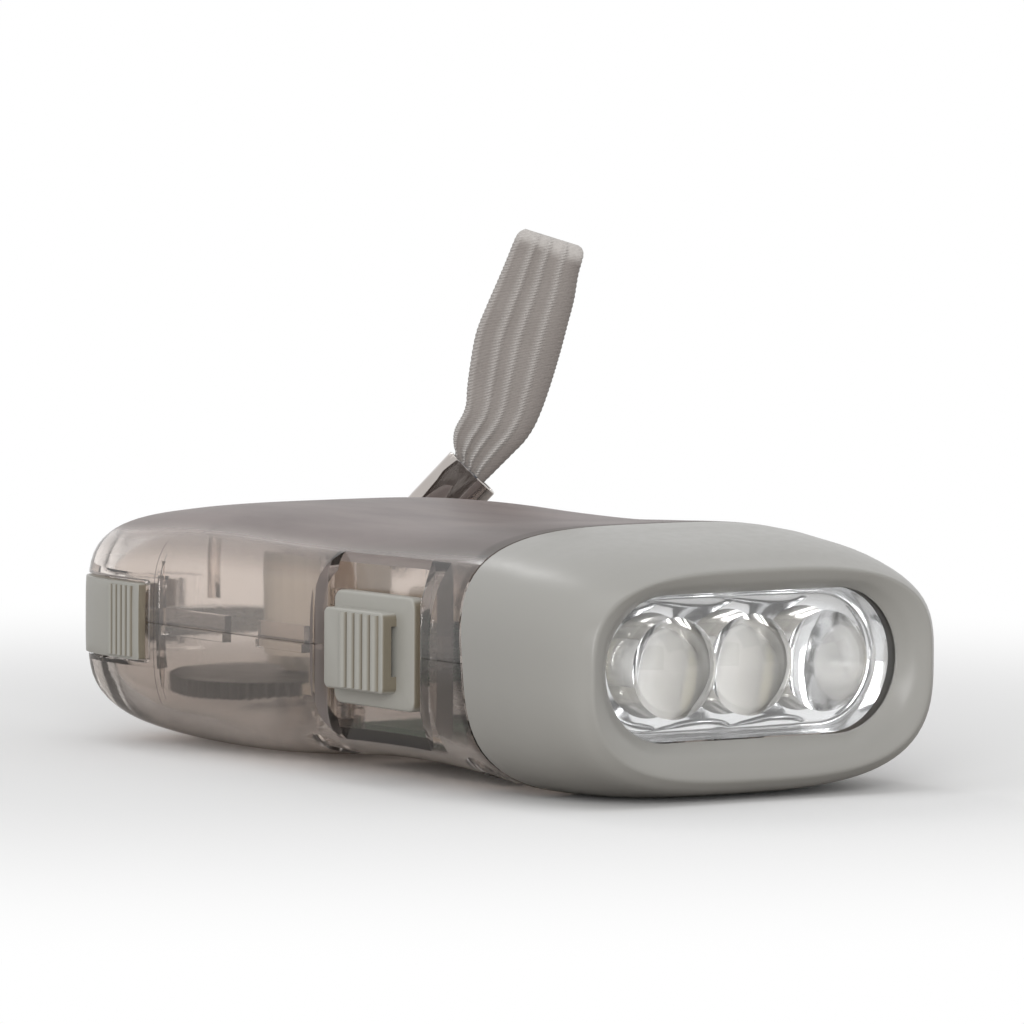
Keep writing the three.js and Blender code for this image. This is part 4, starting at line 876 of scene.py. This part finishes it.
# Rings from the foot of the eye up to the rim and down inside the tube: height, half width,
# half thickness, power of the rounding, and how far the lap stands out
clip_rows = [(h, math.sqrt(max(eye_radius ** 2 - h ** 2, 0.2)), eye_half, eye_power, 0)
             for h in np.linspace(-2.66, 0, 10)]
clip_rows += [
    (0.8, 2.72, 0.6, 2.4, 0), (1.7, 2.8, 0.75, 2.4, 0), (2.5, 2.98, 1.15, 2.9, 0),
    (3.3, 3.2, 1.65, 3.4, 0.1), (4.1, 3.36, 2.0, 3.8, 0.25), (5, 3.4, 2.1, 4, 0.28),
    (8, 3.4, 2.1, 4, 0.28), (11.15, 3.4, 2.1, 4, 0.28), (11.28, 3.34, 2.04, 4, 0.22),
    (tube_top, 3.2, 1.9, 4, 0.1), (11.24, 2.98, 1.68, 4, 0), (11, 2.9, 1.6, 4, 0),
    (8, 2.9, 1.6, 4, 0), (4.6, 2.9, 1.6, 4, 0),
]
rings = []
for height, half, thick, power, lap in clip_rows:
    ring = []
    for turn in np.arange(160) / 160 * 2 * math.pi:
        c, s = math.cos(turn), math.sin(turn)
        u = half * math.copysign(abs(c) ** (2 / power), c)
        t = thick * math.copysign(abs(s) ** (2 / power), s)
        if s < -0.05 and u > lap_edge:
            t -= lap * min((u - lap_edge) / lap_slope, 1)
        t += tube_out * min(max((height - tube_start) / tube_run, 0), 1)
        ring.append(stud_centre + (clip_across * u + outward * t + clip_axis * height) * mm)
    rings.append(ring)
ferrule = skin("ferrule", rings)
bpy.ops.object.select_all(action="DESELECT")
bpy.ops.mesh.primitive_cylinder_add(vertices=40, radius=stud_radius * mm, depth=8 * mm,
                                    location=stud_centre,
                                    rotation=(math.pi / 2, 0, stud_turn - math.pi / 2))
hole = bpy.context.object
bpy.ops.object.transform_apply(location=True, rotation=True, scale=True)
cut(ferrule, hole)
# The chrome's colour is a dark warm brown: a painted reflection of dark surroundings
sheet, tree, shader, grain = varied("chromed_sheet", 300, 2, (0.45, 0.41, 0.385),
                                    (0.51, 0.475, 0.45), 0.06, 0.09)
settle(shader, Metallic=1)
dressed(smoothed(ferrule, 32), "ferrule", sheet, "strap", "bright_metal", "strap_ferrule")

# Wrist strap
# A loop of pale grey webbing laid double, about 9 mm wide, with four ladder-stitched cords
# along each face. It is gathered where the ferrule grips it and folded over at its top.
webbing, tree, shader = finish_of("strap_webbing")
laid = tree.nodes.new("ShaderNodeUVMap")
laid.uv_map = "UVMap"
spot = split(tree, laid.outputs[0])
from_right = times(tree, calc(tree, "PINGPONG", spot["X"], 0.5), 2)
cords = tree.nodes.new("ShaderNodeValToRGB")
cords.color_ramp.interpolation = "EASE"
stops = ((0.0, 0.0), (0.19, 0.05), (0.27, 1.0), (0.35, 0.1), (0.43, 0.1), (0.51, 1.0),
         (0.59, 0.1), (0.64, 0.1), (0.71, 1.0), (0.79, 0.1), (0.88, 0.1), (0.95, 1.0), (1.0, 0.7))
for at, level in stops[1:-1]:
    cords.color_ramp.elements.new(at)
for element, (at, level) in zip(cords.color_ramp.elements, stops):
    element.position = at
    element.color = (level, level, level, 1)
tree.links.new(from_right, cords.inputs[0])
stitches, slant = 96, 75.0
wave = calc(tree, "MULTIPLY_ADD", spot["Y"], 2 * math.pi * stitches,
            times(tree, from_right, slant))
rung = calc(tree, "MULTIPLY_ADD", calc(tree, "SINE", wave), 0.5, 0.5)
raised = times(tree, cords.outputs["Color"], calc(tree, "MULTIPLY_ADD", rung, 0.5, 0.5))
weave = noise(tree, place(tree), 2600, 3)
patch = noise(tree, place(tree), 260, 2)
fold = ease(tree, calc(tree, "MULTIPLY_ADD", patch, 0.05, spot["Y"]), 0.955, 1.0)
by_rim = ease(tree, spot["Y"], 0.2, 0.42, 1, 0)
# The ground between the cords, and the gaps between stitches, are darker than the pale cords:
# painted shade in the grooves, with the bump for their relief
ground = blended(tree, patch, (0.27, 0.24, 0.223), (0.345, 0.313, 0.293))
# Darker towards the strap's right edge: painted shade on that side
ground = blended(tree, ease(tree, from_right, 0.05, 0.24), (0.26, 0.232, 0.216), ground)
# Near the ferrule's rim the ground is darker still and the cords paler: painted shade and highlight
# where the strap is gathered
ground = blended(tree, times(tree, by_rim, 0.45), ground, (0.2, 0.175, 0.16))
light = blended(tree, weave, (0.46, 0.43, 0.405), (0.66, 0.63, 0.605))
light = blended(tree, times(tree, by_rim, 0.6), light, (0.8, 0.78, 0.75))
colour = blended(tree, times(tree, raised, 0.85), ground, light)
feed(tree, shader, blended(tree, fold, colour, light), spread(tree, weave, 0.75, 0.95))
settle(shader, Sheen_Weight=0.2)
height = calc(tree, "MULTIPLY_ADD", weave, 0.7, times(tree, rung, 0.1))
bumped(tree, shader, calc(tree, "ADD", raised, height), 0.75, 0.18 * mm)

# Both edges of the strap in its own plane, in millimetres from the middle of the ferrule's
# rim, along the ferrule's lean and up: first the left edge, then the right one
rim = stud_centre + clip_axis * tube_top * mm + outward * tube_out * mm
strap_edges = smooth_rows(np.array([
    (-5.41, -1.76, -2.14, -4.78), (-2.0, 1.9, 1.27, -1.12), (-2.15, 2.95, 1.93, -0.47),
    (-2.2, 3.83, 3.1, 0.72), (-2.05, 4.73, 4.49, 2.13), (-1.69, 5.52, 5.83, 3.54),
    (-1.13, 6.53, 6.88, 5.17), (-0.78, 7.65, 7.6, 6.8), (-0.68, 9.27, 8.21, 8.48),
    (-0.4, 11.63, 8.93, 10.73), (0.33, 15.7, 9.8, 13.76), (1.49, 18.71, 10.52, 16.57),
    (2.77, 21.7, 11.23, 19.37), (3.76, 24.09, 11.69, 22.17), (4.42, 25.77, 12.12, 23.8),
    (4.72, 26.45, 12.26, 24.47), (5.12, 26.97, 12.11, 25.09), (5.76, 27.29, 11.7, 25.47),
]), 20)
middle = (strap_edges[:, :2] + strap_edges[:, 2:]) / 2
steps, strap_edges = even_steps(middle, strap_edges, 420)
span = np.linspace(1, -1, 76)
cord_half = 0.085
cord_at = sum(np.exp(-((span - c) / cord_half) ** 2) for c in (-0.9, -0.42, -0.02, 0.46))
crown = (1 - np.abs(span) ** 7 * 0.88) ** (1 / 2.2)

# It is thinner up to where the ferrule lets go, gathered just above, and round at the top
gripped, fuller, grip_end, grip_run = 0.95, 0.3, 4.6, 2.5
gathered_at, gathered_run, top_round = 6, 7, 1.4
stitch_pitch, stitch_notch = 0.56, 0.007
rings = []
for gone, (a0, b0, a1, b1) in zip(steps, strap_edges):
    left_end = rim + (aside * a0 + upright * b0) * mm
    right_end = rim + (aside * a1 + upright * b1) * mm
    half, point = (right_end - left_end) / 2, (left_end + right_end) / 2
    to_top = min((steps[-1] - gone) / top_round, 1)
    gather = max(0.0, 1 - abs(gone - gathered_at) / gathered_run)
    freed = min(max((gone - grip_end) / grip_run, 0), 1)
    thick = (gripped + fuller * freed) * mm * math.sqrt(max(1 - (1 - to_top) ** 2, 0.0004))
    shape = thick * crown * (0.8 + (0.2 + 0.12 * gather) * cord_at)
    wide = half * (1 + stitch_notch * math.sin(gone * 2 * math.pi / stitch_pitch) * to_top)
    near = [point + wide * s - outward * t for s, t in zip(span, shape)]
    far = [point + wide * s + outward * t for s, t in zip(span[::-1], shape[::-1])]
    rings.append([*near, point - wide * 1.004, *far, point + wide * 1.004])
strap = skin("strap", rings)
dressed(smoothed(strap, 60), "webbing_loop", webbing, "strap", "webbing", "wrist_strap")

for tool in (outer, wall_middle):
    bpy.data.objects.remove(tool)

# Studio
# A plain pale floor under a white surround, lit by broad soft lamps, with the camera low
# beside the head and cards that only gloss shows.
bpy.ops.object.select_all(action="DESELECT")
bpy.ops.mesh.primitive_plane_add(size=8, location=(0, 0, -0.2 * mm))
floor = bpy.context.object
floor.name = "studio_floor"


def seen_directly(tree):
    """1 for rays from the camera, from a gloss or through a clear piece, else 0."""
    path = tree.nodes.new("ShaderNodeLightPath").outputs
    either = calc(tree, "MAXIMUM", path["Is Camera Ray"], path["Is Glossy Ray"])
    return calc(tree, "MAXIMUM", either, path["Is Transmission Ray"])


pale, tree, shader = finish_of("pale_floor")
path = tree.nodes.new("ShaderNodeLightPath").outputs
direct = calc(tree, "MAXIMUM", path["Is Camera Ray"], times(tree, path["Is Transmission Ray"], 0.5))
tree.links.new(blended(tree, direct, (0.52, 0.5, 0.48), (0.95, 0.95, 0.95)),
               shader.inputs["Base Color"])
settle(shader, Roughness=0.9, Specular_IOR_Level=0)
off_middle = tree.nodes.new("ShaderNodeVectorMath")
off_middle.operation = "LENGTH"
tree.links.new(place(tree), off_middle.inputs[0])
fade = ease(tree, off_middle.outputs["Value"], 0.06, 0.2)
white = tree.nodes.new("ShaderNodeEmission")
shown_as(tree, times(tree, seen_directly(tree), fade), shader.outputs[0], white.outputs[0])
floor.data.materials.append(pale)

world = bpy.data.worlds.new("studio_white")
bpy.context.scene.world = world
world.use_nodes = True
tree = world.node_tree
surround = tree.nodes["Background"]
surround.inputs["Color"].default_value = (0.6, 0.6, 0.6, 1)
backdrop = tree.nodes.new("ShaderNodeBackground")
backdrop.inputs["Color"].default_value = (1, 1, 1, 1)
shown_as(tree, seen_directly(tree), surround.outputs[0], backdrop.outputs[0], "World Output")

centre = Vector((0.025, 0, 0.015))


def at_centre(where, side):
    """The turn that points one side of a lamp or card at the middle of the torch."""
    return (centre - Vector(where)).to_track_quat(side, "Y").to_euler()


for name, where, wide, high, power in (
    ("top_lamp", (0.1, -0.15, 0.95), 0.6, 0.6, 0.75),
    ("rear_lamp", (-0.62, 0.04, 0.71), 0.07, 0.34, 0.55),
    ("near_lamp", (0.8, -0.55, 0.28), 0.45, 0.45, 4.4),
):
    lamp = bpy.data.lights.new(name, "AREA")
    lamp.shape = "RECTANGLE"
    lamp.size, lamp.size_y, lamp.energy = wide, high, power
    holder = bpy.data.objects.new(name, lamp)
    bpy.context.scene.collection.objects.link(holder)
    holder.location = where
    holder.rotation_euler = at_centre(where, "-Z")

# Coloured cards beside the set, seen only in the gloss of metal and plastic
for name, where, size, shade in (
    ("camera_card", (0.3, -0.22, 0.12), 0.3, (0.06, 0.046, 0.04)),
    ("high_card", (0.5, 0.1, 0.5), 0.42, (0.17, 0.2, 0.25)),
    ("right_card", (0.8, 0.7, 0.28), 0.5, (0.3, 0.29, 0.28)),
):
    card_finish, tree, shader = finish_of(name)
    glow = tree.nodes.new("ShaderNodeEmission")
    glow.inputs["Color"].default_value = (*shade, 1)
    tree.links.new(glow.outputs[0], tree.nodes["Material Output"].inputs["Surface"])
    bpy.ops.object.select_all(action="DESELECT")
    bpy.ops.mesh.primitive_plane_add(size=size)
    card = bpy.context.object
    card.name = name
    card.location = where
    card.rotation_euler = at_centre(where, "Z")
    card.data.materials.append(card_finish)
    card.visible_camera = card.visible_diffuse = False
    card.visible_transmission = card.visible_shadow = False

camera = bpy.data.cameras.new("photo_camera")
camera.sensor_width, camera.lens = 36, 299.67
camera.clip_start, camera.clip_end = 0.05, 30
viewer = bpy.data.objects.new("photo_camera", camera)
bpy.context.scene.collection.objects.link(viewer)
bpy.context.scene.camera = viewer
looked_at = Vector((0.027037, 0, 0.026586))
back = Vector((0.82449, -0.56182, 0.06774)).normalized()
distance, tilt = 0.9, math.radians(0.304)
viewer.location = looked_at + back * distance
right = upright.cross(back).normalized()
up = back.cross(right)
right, up = (right * math.cos(tilt) + up * math.sin(tilt),
             up * math.cos(tilt) - right * math.sin(tilt))
viewer.rotation_euler = Matrix((right, up, back)).transposed().to_euler()
bpy.context.scene.view_settings.view_transform = "Standard"
